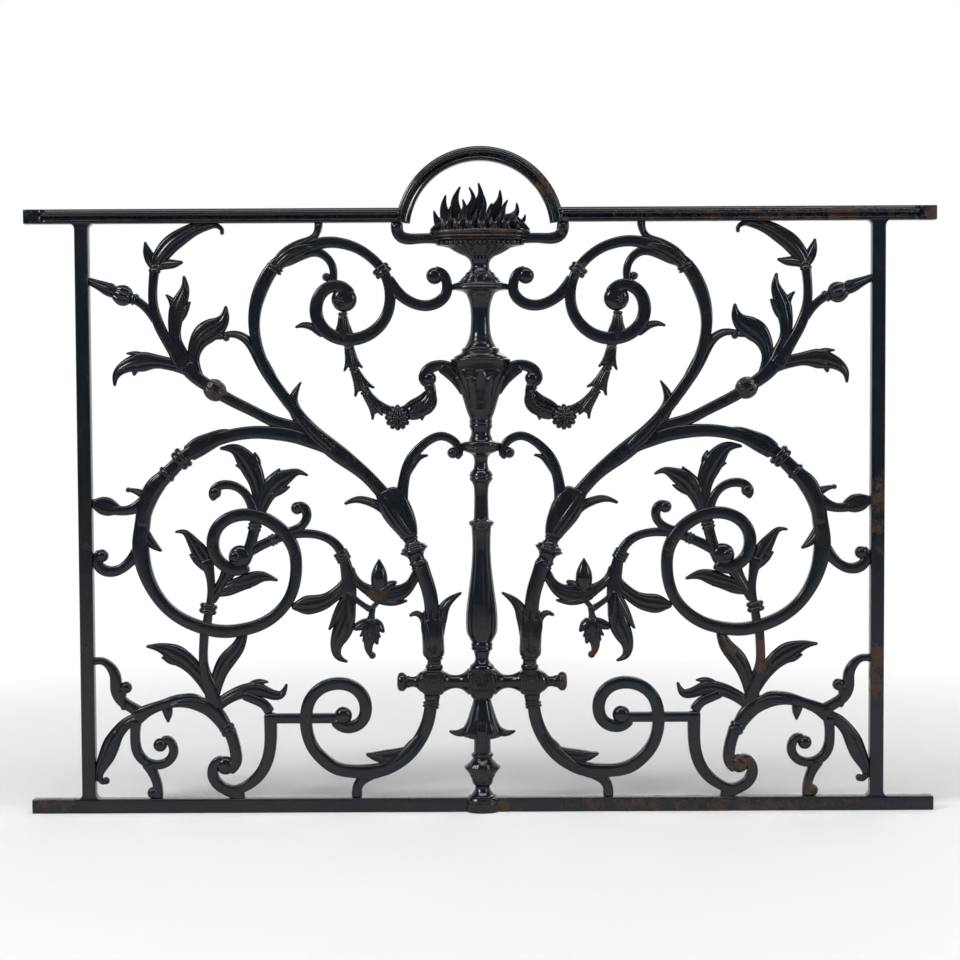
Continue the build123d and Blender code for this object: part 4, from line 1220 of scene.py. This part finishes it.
class RAILING_OT_great_scroll(PieceOperator, bpy.types.Operator):
    """Great scroll, out to the stile, down and round into its eye"""

    bl_idname = "railing.great_scroll"
    bl_label = "Great scroll"
    nodes = both("great_scroll")

    def shapes(self, cast):
        cast.bar([(-206, 507), (-212, 511), (-235, 520.5), (-260, 529), (-287, 533.5), (-313, 535),
                  (-340, 532.5), (-366, 526), (-392, 515), (-412, 503), (-429, 486.5), (-445, 471),
                  (-461, 453), (-470.5, 431), (-474, 408), (-477, 385), (-475.7, 360), (-470, 336.5),
                  (-460.5, 315), (-444.5, 292.5), (-423, 275), (-395, 262.3), (-366, 256), (-336.5, 258),
                  (-310.5, 265.5), (-286, 281.5), (-269.5, 302.5), (-261.5, 326), (-259.5, 348),
                  (-262, 369), (-272, 389), (-288, 405), (-308, 416), (-331, 420), (-353, 415),
                  (-369.5, 401.5), (-376, 381), (-371, 360), (-357, 346.5), (-341, 342.5), (-327, 349)],
                 (18, 18, 20, 18.5, 18, 18.5, 18, 20, 23, 21, 22, 24, 20, 17, 17, 18, 18.5, 18, 17.5, 16.5,
                  16.5, 17, 18.5, 18.5, 17.5, 18, 17.5, 17, 17))
        cast.ring((-424.5, 492.6), (-418.6, 498), 15.4, rim=0.86)
        cast.ring((-419, 497.6), (-413, 503.2), 16.4, rim=0.86)
        cast.ring((-442, 474.4), (-436.6, 479.6), 13.4)
        cast.sheath([(-440, 476), (-455, 461), (-466, 441), (-471.5, 420), (-473.5, 402)],
                    (19, 27, 26, 21, 16), 20)
        cast.leaf([(-410, 504), (-395, 514.5), (-378, 523), (-356, 531), (-336, 532)], (24, 29, 24, 20, 5),
                  20, veins=5)
        cast.boss(-338, 360.5, 16.6, 19, dome=0.25)
        cast.boss(-344, 361.4, 10, 26, dome=0.5)
        cast.leaf([(-462, 440), (-474, 449), (-484, 453.5), (-494, 455.5)], (16, 14, 9, 5), 14)
        cast.boss(-493.5, 455.3, 3.8, 13)
        cast.stem([(-470, 437), (-486, 429), (-501, 426), (-516, 428)], (24, 16, 13, 15))
        cast.leaf([(-506, 427), (-522, 431.5), (-532, 434), (-546, 438)], (12, 27, 26, 8), 18, veins=5)
        cast.stem([(-536, 437), (-541, 437), (-546, 437)], (11, 10, 10), 10)
        cast.stem([(-480, 370), (-494, 353), (-508, 343), (-523, 341), (-535.5, 348), (-538.5, 361),
                   (-533, 369)], (20, 16, 14, 15, 16, 14, 11))
        cast.boss(-531.6, 363, 9.2, 18)
        cast.stem([(-533, 356), (-539, 356), (-546, 356)], (19, 20, 22), 12)
        cast.leaf([(-472, 402), (-467, 388), (-461, 379.5), (-447.6, 369)], (10, 15, 13, 3), 14)


class RAILING_OT_upper_branch(PieceOperator, bpy.types.Operator):
    """Upper branch: a knotted stem with its leaves, bud and bell flower"""

    bl_idname = "railing.upper_branch"
    bl_label = "Upper branch"
    nodes = both("upper_branch")

    def shapes(self, cast):
        cast.stem([(-240, 531), (-252, 537.5), (-289.5, 550.5), (-312, 561.5), (-338, 574.5), (-361, 587),
                   (-383, 602), (-396.5, 612), (-412, 630)], (16, 19, 17, 15.5, 16, 16.5, 17.5, 19, 23))
        cast.round_on((-371, 594), (-0.83, 0.56),
                      [(7.5, -15), (11, -11.5), (14, -6), (15, 0), (14, 6), (11, 11), (8, 15)], flat=0.74,
                      relief=ribs(12, 3.2, 0.5, -15, 15), around=60)
        cast.leaf([(-398, 613), (-414, 625), (-430, 630), (-455, 634.5), (-478, 633), (-498, 626),
                   (-508.5, 615), (-510.5, 600)], (12, 19, 18, 19, 30, 21, 13, 3), 13)
        cast.leaf([(-458, 634), (-472, 632), (-480, 626), (-483.5, 614.5)], (10, 17, 15, 3), 11, veins=2)
        cast.leaf([(-456, 637), (-470, 641), (-481, 645), (-494, 645.6)], (8, 12, 9, 2), 10, veins=2)
        cast.leaf([(-408, 622), (-418, 646), (-425.5, 672), (-424, 696), (-417.5, 718), (-411, 736),
                   (-412.5, 753.5)], (22, 21, 15, 20, 26, 16, 3), 13)
        cast.leaf([(-424, 692), (-425, 706), (-429, 718), (-438, 727.5)], (10, 14, 11, 2), 11, veins=2)
        cast.leaf([(-420, 690), (-414, 702), (-409, 710), (-403.4, 717.5)], (10, 14, 11, 2), 11, veins=2)
        cast.stem([(-412, 622), (-431, 654), (-442.5, 674), (-451.5, 696), (-455.5, 717), (-455.3, 740),
                   (-452.7, 764)], (24, 17, 15, 15.5, 13, 12.5, 14))
        cast.stem([(-450, 690), (-464, 707.5), (-475, 717), (-487, 724)], (15, 12.5, 12, 14), 12)
        cast.ring((-479, 719), (-484, 722.4), 9.0, beads=2)
        cast.round_on((-484, 721), (-0.93, 0.37),
                      [(4, 0), (8.5, 2.5), (12.8, 7.5), (14.2, 13), (13.6, 18.5), (11, 24), (7.5, 29),
                       (4, 33)], flat=0.78, relief=ribs(8, 3.2, 0.6, 1, 29), around=64)
        cast.leaf([(-504, 729), (-515, 733.6), (-530, 740.5), (-547, 747.5)], (17, 20, 13.5, 10), 17)
        cast.leaf([(-506, 734), (-515, 739.6), (-524, 741)], (8, 11, 3), 19)
        cast.ring((-453.4, 757), (-451.6, 768.6), 8.6, beads=2)
        cast.leaf([(-451, 764), (-457, 774), (-461.5, 784), (-465.7, 801)], (14, 17, 13, 2), 12, veins=2)
        cast.leaf([(-451, 764), (-440, 768.6), (-427, 769.7), (-413, 772.4)], (10, 15, 13, 3), 12, veins=2)
        cast.leaf([(-452, 760), (-448, 774), (-441.5, 784), (-431, 796), (-416, 807), (-398, 817),
                   (-369, 824.5)], (12, 22, 26, 25, 21, 16, 11), 15)
        cast.stem([(-375, 822.6), (-364, 821.5), (-358, 815), (-359.5, 809.5)], (9, 8, 6.5, 5), 10)
        cast.leaf([(-392, 608), (-399.5, 626), (-399.6, 644), (-393, 662), (-382, 674), (-368, 682),
                   (-357.5, 693), (-354.3, 711.5)], (16, 19, 17, 24, 33, 30, 16, 3), 13)
        cast.leaf([(-388, 662), (-378, 670), (-368, 671), (-357, 667)], (10, 17, 15, 7), 11, veins=2)


class RAILING_OT_spiral_spray(PieceOperator, bpy.types.Operator):
    """Spray of stems and leaves inside the great scroll"""

    bl_idname = "railing.spiral_spray"
    bl_label = "Spiral spray"
    nodes = both("spiral_spray")

    def shapes(self, cast):
        cast.stem([(-386.5, 255), (-383.5, 280), (-380, 300), (-379, 320), (-381, 338), (-386, 358)],
                  (14, 12.5, 11.5, 11, 13, 22))
        cast.ring((-385, 280.6), (-382.2, 295), 12.6, beads=2)
        cast.leaf([(-382, 342), (-388, 356), (-396, 370), (-406.5, 385.5), (-417, 396), (-429, 395.6)],
                  (14, 23, 24, 17, 9, 3), 12)
        cast.leaf([(-382, 340), (-390, 350), (-399, 357), (-409, 365)], (9, 16, 13, 2), 11, veins=2)
        cast.leaf([(-378, 296), (-370, 313), (-361, 328), (-351, 347)], (10, 15, 17, 26), 14)
        cast.leaf([(-374, 306), (-360, 316.5), (-346, 322), (-328, 327), (-308, 332.5), (-285.5, 327)],
                  (8, 14, 18, 23, 14, 3), 12)
        cast.leaf([(-370, 308), (-352, 312), (-338, 316), (-322, 318)], (8, 12, 9, 2), 10, veins=2)
        cast.stem([(-330, 358), (-321, 386), (-317, 402), (-313, 424)], (18, 15, 16, 18))
        cast.ring((-318.6, 397), (-316, 407), 10.0, beads=2)
        cast.stem([(-332, 364), (-310, 376), (-291, 384.5), (-268, 393)], (16, 14.5, 14, 14))
        cast.ring((-296, 382), (-288, 386), 8.8, beads=2)
        cast.leaf([(-315, 410), (-311, 430), (-310.5, 450), (-314, 467), (-321, 484), (-330, 498),
                   (-343.5, 511), (-365, 512.4)], (14, 19, 21, 24, 30, 27, 15, 3), 13)
        cast.leaf([(-318, 476), (-314.5, 488), (-314, 497), (-316.6, 507.5)], (10, 15, 12, 2), 11, veins=2)
        cast.leaf([(-318, 472), (-327, 482), (-335, 486.5), (-343.5, 489.5)], (9, 14, 10, 2), 11, veins=2)
        cast.stem([(-316, 414), (-323.5, 438.5), (-331, 450.5), (-342.5, 459), (-357, 462), (-370, 458),
                   (-375.5, 448), (-371, 441)], (16, 14, 12.5, 12, 12.5, 13.5, 13, 10), 12)
        cast.boss(-372, 451, 8.8, 17)
        cast.leaf([(-313, 412), (-306, 434), (-298, 450), (-287, 464), (-270, 474), (-256, 479),
                   (-242, 474)], (12, 19, 22, 31, 24, 11, 3), 13)
        cast.leaf([(-300, 452), (-294, 466), (-288, 475), (-281, 484.5)], (9, 15, 12, 2), 11, veins=2)
        cast.leaf([(-296, 446), (-284, 452), (-276, 455), (-267, 459)], (9, 13, 10, 2), 11, veins=2)


class RAILING_OT_flower_cluster(PieceOperator, bpy.types.Operator):
    """Flower cluster with hanging leaves, between the great scroll and the trunk"""

    bl_idname = "railing.flower_cluster"
    bl_label = "Flower cluster"
    nodes = both("flower_cluster")

    def shapes(self, cast):
        cast.stem([(-270, 391.5), (-245, 393), (-225, 390), (-208, 381.5), (-196.5, 367), (-190, 348),
                   (-186.5, 326), (-186, 300)], (13, 12.5, 12, 13, 14, 18, 21, 22))
        cast.stem([(-272, 395), (-257, 400), (-247, 409), (-244, 420.5), (-249.5, 430.5), (-258, 432)],
                  (12, 13, 12.5, 13, 14, 12))
        cast.boss(-257.5, 428.6, 9, 18)
        cast.ring((-198.4, 367.4), (-191.4, 354.4), 10.8, beads=3, rim=0.93, flat=0.8)
        cast.leaf([(-187, 334), (-193, 319), (-206, 306.5), (-223, 296.5), (-242, 292.5), (-267, 290)],
                  (12, 19, 19, 25, 29, 6), 13)
        cast.leaf([(-184, 322), (-185.5, 304), (-187, 288), (-189.5, 273.7), (-194, 260), (-200, 247),
                   (-204.5, 233.5), (-202, 220), (-188.5, 212)], (12, 18, 21, 24, 29, 26, 17, 11, 3), 13)
        cast.leaf([(-188, 306), (-198, 287), (-206, 272), (-214.5, 257)], (12, 16, 12, 3), 12)
        cast.face_leaves([(-186, 312), (-184, 292), (-183, 272), (-188, 254)], (8, 13, 12, 3), 9, (4, 6),
                         veins=2)
        cast.stem([(-183, 306), (-174, 298), (-165, 291.5), (-155, 285)], (9, 8, 8, 10), 9)
        cast.stem([(-137, 305), (-146, 296), (-151.5, 290), (-157, 283)], (8, 7, 8, 8), 9)
        cast.stem([(-152.5, 290), (-154, 281), (-155, 270)], (9, 9, 10), 10)
        cast.husk((-155, 274), (-156.5, 250), 10, 24, 15)
        cast.leaf([(-155, 268), (-165, 265), (-181, 259)], (14, 16, 8), 12, veins=2)
        cast.leaf([(-153, 269), (-144.5, 262), (-137, 253)], (14, 16, 3), 12, veins=2)
        cast.leaf([(-156, 262), (-160.5, 250), (-167, 240)], (14, 16, 3), 12)
        cast.leaf([(-155, 262), (-150.5, 249), (-146.5, 236)], (14, 16, 3), 12)
        cast.leaf([(-156, 258), (-158, 243), (-159, 230), (-154.5, 219)], (20, 18, 12, 6), 14)
        cast.boss(-154, 221, 5.2, 13)
        cast.leaf([(-184, 346), (-180.5, 332), (-170, 320.5), (-158, 313), (-146, 309)],
                  (12, 14, 13, 16, 22), 14)
        cast.leaf([(-162, 313), (-146, 307), (-128, 306.5), (-112, 310.5), (-100, 320.5), (-90, 338)],
                  (13, 22, 26, 22, 14, 15), 15, veins=5)
        cast.round_on((-143.5, 312), (0, 1),
                      [(6, -2), (9.4, 4), (11.2, 10), (11.8, 17), (11, 24), (8.6, 31), (5, 38), (0.6, 45)],
                      flat=0.8, relief=ribs(6, 0.8, 0.7, 0, 40), around=36, step=1.6)
        cast.leaf([(-146, 308), (-136, 316), (-128, 321), (-118.5, 324)], (9, 12, 11, 5), 14, veins=2)
        cast.leaf([(-156, 305), (-138, 298), (-120, 295.5), (-104, 298)], (10, 13, 10, 3), 14, veins=2)


class RAILING_OT_garland(PieceOperator, bpy.types.Operator):
    """Garland of husks, with its rosette and the vase's handle"""

    bl_idname = "railing.garland"
    bl_label = "Garland"
    nodes = both("garland")

    def shapes(self, cast):
        route = [(-184, 660), (-182.5, 642), (-177, 622), (-167.5, 605), (-158.5, 590), (-147, 576.5),
                 (-133, 566.5), (-117, 561.5), (-100, 564), (-86, 571.5), (-74.5, 584), (-70.5, 602)]
        cast.stem(route, (9, 10, 10, 10, 11, 12, 14, 15, 15, 14, 12, 11), 12)
        cast.husk((-183.6, 656), (-178, 625), 13.5, 22)
        cast.husk((-176.5, 623), (-163, 593), 12.5, 25)
        cast.husk((-161.5, 591), (-141, 563), 12.5, 25)
        cast.sheath([(-71, 603), (-68.5, 590), (-72.5, 578), (-84, 566), (-102, 559)], (12, 14, 21, 25, 18),
                    17, veins=7)
        cast.leaf([(-74, 578), (-79, 565), (-82.5, 550)], (13, 13, 2), 15)
        cast.leaf([(-74, 592), (-84, 581.5), (-97, 575), (-109, 568)], (6, 10, 9, 3), 18)
        cast.leaf([(-66, 590), (-64.5, 577), (-71, 565), (-86, 556)], (6, 9, 9, 3), 18)
        cast.face_leaves([(-70, 592), (-73, 579), (-84, 568), (-100, 561)], (7, 11, 12, 4), 8, (7, 8))
        cast.boss(-116, 554.6, 18.4, 21, petals=12, dome=0.2)
        cast.boss(-116, 554.6, 11, 25, petals=8, dome=0.3)
        cast.boss(-116, 554.6, 5, 28)
        cast.ring((-70.8, 600), (-71, 593), 8.4, beads=2)
        cast.bar([(-25, 586), (-31, 603), (-42, 616.5), (-57, 624.5)], (6, 16, 20, 14), 14.4)
        cast.stem([(-32, 616), (-50, 626.5), (-64, 626), (-75, 619), (-79, 607), (-72, 600)],
                  (27, 16, 15, 16.5, 16, 12))
        cast.leaf([(-30, 606), (-38, 619), (-48, 626), (-60, 629)], (14, 17, 12, 3), 17)
        cast.boss(-71.5, 608.5, 10, 20, dome=0.6)


class RAILING_OT_lower_scroll(PieceOperator, bpy.types.Operator):
    """Lower scroll, from the cross arm down and round to its ball, with the bar to the foot scroll"""

    bl_idname = "railing.lower_scroll"
    bl_label = "Lower scroll"
    nodes = both("lower_scroll")

    def shapes(self, cast):
        cast.ring((-72.6, 146), (-71.4, 154.4), 12, beads=2)
        cast.bar([(-71.8, 155), (-75, 133), (-81.5, 114), (-91.5, 96.5), (-105, 80.5), (-123, 67.5),
                  (-144, 59), (-165, 57), (-186, 57.5), (-206, 62), (-223.5, 74), (-238, 91), (-246, 112),
                  (-247.5, 136), (-242, 158), (-226, 175), (-203.5, 181.5), (-183, 177.5), (-168.5, 164.5),
                  (-163.5, 146), (-168.5, 129.5), (-182, 120.5), (-198, 121.5), (-208, 130)],
                 (18, 18.5, 19, 19.5, 19.5, 20, 19, 18, 18.5, 17.5, 17, 17.5, 17.5, 17.5, 17.5, 17.5, 18,
                  17.5, 17, 15))
        cast.boss(-195.5, 136, 12.6, 20, dome=0.4)
        cast.bar([(-200, 132.5), (-230, 132.5), (-260, 132.5), (-296, 132.5)], (14, 14, 14, 14), 13)
        cast.leaf([(-94, 92), (-106, 86), (-121, 79.5), (-137, 77.5), (-150, 78), (-164, 81.5)],
                  (8, 14, 20, 20, 15, 3), 18)
        cast.face_leaves([(-84, 110), (-98, 91), (-117, 74), (-140, 62)], (12, 19, 16, 3), 8, (5, 8, 8, 4))
        cast.sheath([(-132, 63), (-150, 57.5), (-168, 56), (-186, 57)], (17, 22, 22, 16), 18)
        cast.stem([(-154, 54), (-168, 46.5), (-176, 35), (-176.5, 19)], (17, 16, 14, 15))


class RAILING_OT_foot_scroll(PieceOperator, bpy.types.Operator):
    """Foot scroll, down to its pedestal and up to the corner spray"""

    bl_idname = "railing.foot_scroll"
    bl_label = "Foot scroll"
    nodes = both("foot_scroll")

    def shapes(self, cast):
        cast.bar([(-297.7, 141), (-297.5, 120), (-298, 98), (-301, 79), (-308, 61.5), (-320, 46.5),
                  (-335, 36), (-351, 31), (-367, 35.5), (-378, 48), (-379.3, 62), (-372, 72.5), (-363, 73)],
                 (18, 18, 17.5, 17, 17, 17, 16, 14, 14.5, 16, 16, 14, 12))
        cast.boss(-361.5, 66, 13.2, 20, dome=0.4)
        cast.bar([(-356.5, 118), (-350, 99), (-347, 84), (-348, 68), (-357, 58)],
                 (18, 16.5, 16.5, 16.5, 14), 14)
        cast.ring((-361, 123), (-358, 116.4), 11.4, rim=0.86)
        cast.ring((-358.2, 117), (-355, 110), 11.0, rim=0.86)
        cast.bar([(-348, 38), (-349, 28), (-352, 19)], (20, 27, 42), 14)


class RAILING_OT_corner_spray(PieceOperator, bpy.types.Operator):
    """Corner spray: the stem along the bottom with its curls and leaves"""

    bl_idname = "railing.corner_spray"
    bl_label = "Corner spray"
    nodes = both("corner_spray")

    def shapes(self, cast):
        cast.bar([(-488, 134), (-468, 145.5), (-449, 152.5), (-430, 157.5), (-411, 157.5), (-393, 151.5),
                  (-376, 141), (-360, 119)], (25, 17, 14, 18, 21, 21, 23, 18), 15, squareness=0.6)
        cast.leaf([(-438, 153), (-422, 160), (-404, 161), (-384, 153)], (6, 15, 14, 3), 18)
        cast.face_leaves([(-440, 152), (-420, 156.5), (-400, 156), (-376, 146)], (6, 13, 12, 3), 7,
                         (6, 7.5, 7, 4))
        cast.leaf([(-446, 153), (-443, 146), (-442, 138), (-441.6, 127)], (12, 16, 11, 2), 12, veins=2)
        cast.stem([(-486.5, 134), (-488.5, 106), (-485.5, 86.5), (-475.5, 73), (-460.5, 67.5),
                   (-445.5, 70.5), (-436, 80.5), (-435.5, 94), (-443, 103), (-451, 101.5)],
                  (18, 14, 14, 15, 14.5, 13.5, 13.5, 13.5, 12.5, 11))
        cast.boss(-453.5, 95.5, 9.8, 18)
        cast.stem([(-472, 72), (-462, 52), (-457.5, 36), (-457.5, 19)], (20, 14, 13, 15))
        cast.boss(-464, 27.7, 8.4, 17)
        cast.stem([(-478, 139), (-493, 149), (-506.5, 158.5), (-514, 174), (-515, 192), (-521.5, 206),
                   (-533, 214.5), (-547, 214)], (20, 15, 15.5, 16.5, 16.5, 14, 10, 11))
        cast.boss(-500.5, 177, 8.6, 17)
        cast.stem([(-500, 146), (-506, 163), (-503, 178)], (13, 10.5, 12))
        cast.leaf([(-482, 136), (-500, 126.5), (-513, 113), (-522, 97), (-529.5, 79), (-538.5, 60),
                   (-541, 44)], (14, 17, 19, 25, 24, 17, 7), 13)
        cast.leaf([(-508, 118), (-518, 112), (-525, 103), (-530, 92)], (8, 13, 10, 2), 10, veins=2)
        cast.stem([(-538.5, 55), (-538, 46), (-531, 42)], (9, 8, 7), 9)
        cast.boss(-530.5, 45, 5.4, 12)
        cast.stem([(-377, 150), (-382, 178), (-389.5, 202), (-391, 228), (-388.5, 262)],
                  (22, 20, 13, 12.5, 13.5))
        cast.leaf([(-378, 158), (-386, 178), (-397.5, 195), (-413, 212), (-433, 225), (-452, 233),
                   (-471.5, 235)], (14, 20, 21, 25, 30, 15, 3), 13)
        cast.leaf([(-412, 208), (-424, 214), (-436, 215), (-450, 220)], (10, 15, 12, 2), 10, veins=2)
        cast.leaf([(-379, 152), (-374.5, 176), (-367, 200), (-356.5, 217), (-344, 231.5), (-334, 254)],
                  (14, 17, 21, 25, 20, 12), 13)
        cast.leaf([(-378, 142), (-364, 157), (-350, 165.5), (-334, 171.5), (-314, 173), (-297.5, 167),
                   (-284, 165.5), (-274.5, 181.5)], (12, 17, 18, 20, 21, 16, 13, 3), 13)
        cast.leaf([(-332, 172), (-320, 181), (-311, 184), (-300, 184)], (10, 13, 10, 2), 10, veins=2)
        cast.stem([(-336, 166), (-319, 159), (-306, 152), (-298, 140)], (13, 13.5, 14, 15))


# Stage


def flat_sheet(name, corners, material):
    """A flat sheet through four corners."""
    mesh = bpy.data.meshes.new(name)
    mesh.from_pydata(corners, [], [(0, 1, 2, 3)])
    sheet = bpy.data.objects.new(name, mesh)
    bpy.context.collection.objects.link(sheet)
    sheet.data.materials.append(material)
    return sheet


def seen_directly(nodes, place):
    """1 for the camera's rays and, behind the panel, those of gloss and glass. 0 for other light."""
    path = nodes.add("ShaderNodeLightPath")
    shown = nodes.math("ADD", path.outputs["Is Glossy Ray"], path.outputs["Is Transmission Ray"])
    depth = nodes.add("ShaderNodeSeparateXYZ", {"Vector": place}).outputs["Y"]
    shown = nodes.product(shown, nodes.ramp(depth, low=0.3, high=1.0))
    return nodes.math("ADD", shown, path.outputs["Is Camera Ray"], clamp=True)


def white_in_part(nodes, share, matt):
    """A matt shader that gives way to plain white by a share."""
    white = nodes.add("ShaderNodeEmission", {"Color": (1, 1, 1, 1), "Strength": 1.0})
    shader = nodes.add("ShaderNodeMixShader",
                       {0: share, 1: matt.outputs["BSDF"], 2: white.outputs["Emission"]})
    nodes.surface(shader, "Shader")


def floor_material(settings):
    """Pale matt floor round the panel, which fades into plain white further off."""
    material = bpy.data.materials.new("pale_floor")
    nodes = Nodes(material)
    place = nodes.object_place()
    tint = nodes.mix(nodes.noise(place, scale=3.0), (*settings.floor, 1), darker(settings.floor, 0.98))
    matt = nodes.add("ShaderNodeBsdfPrincipled",
                     {"Base Color": tint, "Roughness": 0.9, "Specular IOR Level": 0.1})
    distance = nodes.vector("LENGTH", place).outputs["Value"]
    far = nodes.ramp(distance, low=settings.near_floor, high=settings.far_floor)
    white_in_part(nodes, nodes.product(far, seen_directly(nodes, place)), matt)
    return material


def backdrop_material(settings):
    """White backdrop: white to the camera and, behind the panel, in gloss. It is pale to the lamps."""
    material = bpy.data.materials.new("white_backdrop")
    nodes = Nodes(material)
    matt = nodes.add("ShaderNodeBsdfDiffuse", {"Color": (*settings.floor, 1)})
    white_in_part(nodes, seen_directly(nodes, nodes.object_place()), matt)
    return material


def soft_lamp(name, place, aim, size, power):
    """A large square lamp turned towards a point."""
    lamp = bpy.data.lights.new(name, "AREA")
    lamp.shape = "RECTANGLE"
    lamp.size, lamp.size_y = size
    lamp.energy = power
    holder = bpy.data.objects.new(name, lamp)
    holder.location = place
    holder.rotation_euler = (Vector(aim) - Vector(place)).to_track_quat("-Z", "Y").to_euler()
    bpy.context.collection.objects.link(holder)


def grey_surround(brightness):
    """A plain world that lifts the shadows a little."""
    world = bpy.data.worlds.new("surround")
    world.use_nodes = True
    shade = world.node_tree.nodes["Background"]
    shade.inputs["Color"].default_value = (1, 1, 1, 1)
    shade.inputs["Strength"].default_value = brightness
    return world


def photo_camera(settings):
    """The camera at the photograph's angle."""
    camera = bpy.data.cameras.new("camera")
    camera.lens = settings.focal_length
    camera.sensor_width = 36.0
    holder = bpy.data.objects.new("camera", camera)
    holder.location = settings.camera_place
    level_look = Euler((radians(90), 0, 0)).to_matrix()
    holder.rotation_euler = (Euler(settings.camera_turn).to_matrix() @ level_look).to_euler()
    bpy.context.collection.objects.link(holder)
    return holder


LAMPS = (
    # name, place and size in metres, share of the lamp power
    ("key_lamp", (-2.4, -1.9, 2.3), (0.9, 0.9), 1.0),
    ("fill_lamp", (2.8, -1.5, 1.5), (0.6, 1.2), 0.5),
    ("top_lamp", (0.0, -0.9, 3.0), (3.6, 0.7), 0.9),
    ("back_lamp", (1.4, 2.6, 2.8), (2.0, 1.2), 0.5),
)


class RAILING_OT_stage(bpy.types.Operator):
    """Pale floor, white backdrop, soft lamps and the camera at the photograph's angle"""

    bl_idname = "railing.stage"
    bl_label = "Stage"
    bl_options = {"REGISTER", "UNDO"}

    def execute(self, context):
        settings = context.scene.railing_stage
        reach = settings.reach
        corners = [(-reach, -reach), (reach, -reach), (reach, reach), (-reach, reach)]
        flat_sheet("floor", [(x, y, 0) for x, y in corners], floor_material(settings))
        white = backdrop_material(settings)
        for k, name in enumerate(("front_backdrop", "right_backdrop", "rear_backdrop", "left_backdrop")):
            (x0, y0), (x1, y1) = corners[k], corners[(k + 1) % 4]
            flat_sheet(name, [(x0, y0, 0), (x1, y1, 0), (x1, y1, reach), (x0, y0, reach)], white)
        middle = (0.0, 0.0, 0.45)
        for name, place, size, share in LAMPS:
            soft_lamp(name, place, middle, size, settings.lamp_power * share)
        context.scene.world = grey_surround(settings.surround)
        context.scene.camera = photo_camera(settings)
        context.scene.view_settings.view_transform = "Standard"
        return {"FINISHED"}


PIECES = (
    RAILING_OT_bottom_rail, RAILING_OT_top_rail, RAILING_OT_stile, RAILING_OT_arch_rail,
    RAILING_OT_foot_collar, RAILING_OT_turned_foot, RAILING_OT_leaf_skirt, RAILING_OT_centre_boss,
    RAILING_OT_baluster_bead, RAILING_OT_baluster, RAILING_OT_baluster_neck, RAILING_OT_vase_foot,
    RAILING_OT_leaf_vase, RAILING_OT_vase_cover, RAILING_OT_upper_shaft, RAILING_OT_bowl_pedestal,
    RAILING_OT_flame_bowl, RAILING_OT_flames, RAILING_OT_bowl_bracket, RAILING_OT_cross_arm,
    RAILING_OT_trunk, RAILING_OT_upper_scroll, RAILING_OT_urn_scroll, RAILING_OT_great_scroll,
    RAILING_OT_upper_branch, RAILING_OT_spiral_spray, RAILING_OT_flower_cluster, RAILING_OT_garland,
    RAILING_OT_lower_scroll, RAILING_OT_foot_scroll, RAILING_OT_corner_spray,
)


class RAILING_PT_panel(bpy.types.Panel):
    """Sidebar panel that lists the pieces of the railing"""

    bl_idname = "RAILING_PT_panel"
    bl_label = "Railing Panel"
    bl_space_type = "VIEW_3D"
    bl_region_type = "UI"
    bl_category = "Railing"

    def draw(self, context):
        scene = context.scene
        for group in (scene.railing_sizes, scene.railing_finish, scene.railing_stage):
            box = self.layout.box()
            for name in group.__annotations__:
                box.prop(group, name)
        column = self.layout.column(align=True)
        for piece in PIECES + (RAILING_OT_stage,):
            column.operator(piece.bl_idname)


GROUPS = (RailingSizes, RailingFinish, RailingStage)
CLASSES = GROUPS + PIECES + (RAILING_OT_stage, RAILING_PT_panel)


def register():
    for item in CLASSES:
        bpy.utils.register_class(item)
    bpy.types.Scene.railing_sizes = PointerProperty(type=RailingSizes)
    bpy.types.Scene.railing_finish = PointerProperty(type=RailingFinish)
    bpy.types.Scene.railing_stage = PointerProperty(type=RailingStage)


def unregister():
    del bpy.types.Scene.railing_stage
    del bpy.types.Scene.railing_finish
    del bpy.types.Scene.railing_sizes
    for item in reversed(CLASSES):
        bpy.utils.unregister_class(item)


def main():
    register()
    bpy.ops.railing.stage()
    for piece in PIECES:
        getattr(bpy.ops.railing, piece.bl_idname.split(".")[1])()


if __name__ == "__main__":
    main()
